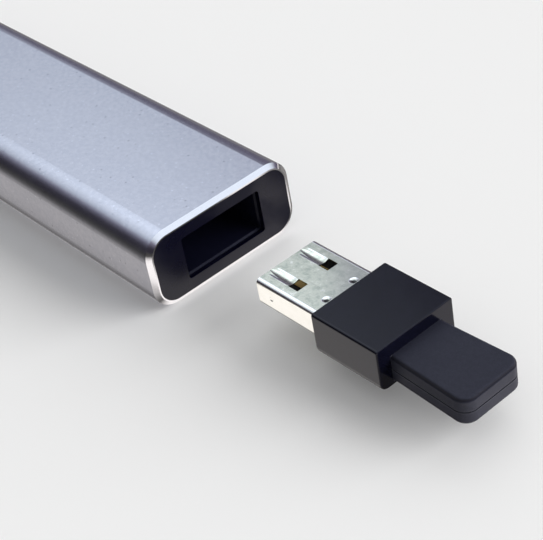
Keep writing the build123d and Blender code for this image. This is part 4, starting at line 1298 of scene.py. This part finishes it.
    def floor_material(self) -> bpy.types.Material:
        """Makes the floor's material.

        Returns:
            The material.
        """
        material = bpy.data.materials.new("floor")
        material.use_nodes = True
        tree = Tree(material.node_tree)
        matt = material.node_tree.nodes["Principled BSDF"]
        matt.inputs["Base Color"].default_value = (*[self.floor_level] * 3, 1.0)
        matt.inputs["Roughness"].default_value = 1.0
        matt.inputs["Specular IOR Level"].default_value = 0.0
        place = tree.add("SeparateXYZ", {"Vector": tree.add("TexCoord", {}).outputs["Object"]})
        share = tree.math("DIVIDE", place.outputs["Y"], 2 * self.glow_reach)
        share = tree.math("ADD", share, 0.5)
        glow = tree.curve(share, self.tube_glow)
        turns = (
            (self.tail_split, self.plug_glow), (self.rear_split, self.rear_glow),
            (self.end_split, self.end_glow),
        )
        for split, stops in turns:
            near, far = (TAIL_X - distance for distance in split)
            behind = tree.ramp(place.outputs["X"], near, far)
            glow = tree.ramp(behind, 0.0, 1.0, glow, tree.curve(share, stops))
        lit = tree.add("Emission", {"Color": (*self.glow_tint, 1.0), "Strength": glow})
        path = tree.add("LightPath", {})
        top = tree.add(
            "MixShader", {0: path.outputs["Is Glossy Ray"], 1: matt.outputs[0], 2: lit.outputs[0]}
        )
        in_length = tree.math("LESS_THAN", tree.math("ABSOLUTE", place.outputs["X"]), self.hole[0])
        in_width = tree.math("LESS_THAN", tree.math("ABSOLUTE", place.outputs["Y"]), self.hole[1])
        hole = tree.math("MULTIPLY", in_length, in_width)
        below = tree.add("NewGeometry", {}).outputs["Backfacing"]
        clear = tree.add("BsdfTransparent", {})
        mixed = tree.add(
            "MixShader",
            {0: tree.math("MAXIMUM", hole, below), 1: top.outputs[0], 2: clear.outputs[0]},
        )
        out = material.node_tree.nodes["Material Output"]
        tree.feed(out.inputs["Surface"], mixed.outputs[0])
        return material

    def world(self) -> None:
        """Makes the even light from all round, the dome that metal reflects, and the background."""
        world = bpy.data.worlds.new("studio")
        bpy.context.scene.world = world
        world.use_nodes = True
        tree = Tree(world.node_tree)
        background = world.node_tree.nodes["Background"]
        way = tree.add("TexCoord", {}).outputs["Generated"]
        lean = tuple(Vector(self.dome_lean).normalized())
        height = tree.add("VectorMath", {0: way, 1: lean}, operation="DOT_PRODUCT")
        share = tree.math("MULTIPLY_ADD", height.outputs["Value"], 0.5, 0.5)
        parts = tree.add("SeparateXYZ", {"Vector": way})
        start, end, level = self.dome_side
        side = tree.ramp(parts.outputs["Y"], start, end)
        ahead = tree.ramp(parts.outputs["X"], *self.dome_ahead)
        even = tree.math("MULTIPLY", side, ahead)
        dome = tree.ramp(even, 0.0, 1.0, tree.curve(share, self.dome), level)
        path = tree.add("LightPath", {})
        glossy = path.outputs["Is Glossy Ray"]
        strength = tree.ramp(glossy, 0.0, 1.0, self.fill, dome)
        seen = tree.math(
            "MAXIMUM", path.outputs["Is Camera Ray"], path.outputs["Is Transmission Ray"]
        )
        strength = tree.ramp(seen, 0.0, 1.0, strength, self.floor_level)
        tree.feed(background.inputs["Strength"], strength)
        tint = tree.mix(tree.ramp(dome, *self.dusk), self.dusk_tint, self.dome_tint)
        colour = tree.mix(glossy, (1.0, 1.0, 1.0), tint)
        tree.feed(background.inputs["Color"], colour)

    def camera(self) -> bpy.types.Object:
        """Makes the camera.

        Returns:
            The camera.
        """
        back = direction(self.azimuth, self.elevation)
        level = Vector((0.0, 0.0, 1.0)).cross(back).normalized()
        upright = back.cross(level)
        turned = Matrix((level, upright, back)).transposed() @ Matrix.Rotation(
            math.radians(self.roll), 3, "Z"
        )
        data = bpy.data.cameras.new("camera")
        data.sensor_width = SENSOR_MM
        data.lens = self.focal_pixels * SENSOR_MM / PIXELS_WIDE
        data.clip_start, data.clip_end = self.clip
        camera = bpy.data.objects.new("camera", data)
        bpy.context.scene.collection.objects.link(camera)
        target = Vector((TAIL_X, 0.0, 0.0)) + Vector(self.target)
        camera.matrix_world = Matrix.Translation(target + back * self.distance) @ turned.to_4x4()
        bpy.context.scene.camera = camera
        return camera


def main() -> None:
    """Builds the studio and each sub-assembly in order, and reports every piece."""
    logging.basicConfig(level=logging.INFO, format="%(message)s")
    Studio().build()
    for assembly in (Housing(), KeyDeck(), Controls(), Laser(), Electronics(), Receiver()):
        for piece in assembly.build():
            log.info("%s: %s", type(assembly).__name__, piece.name)


if __name__ == "__main__":
    main()
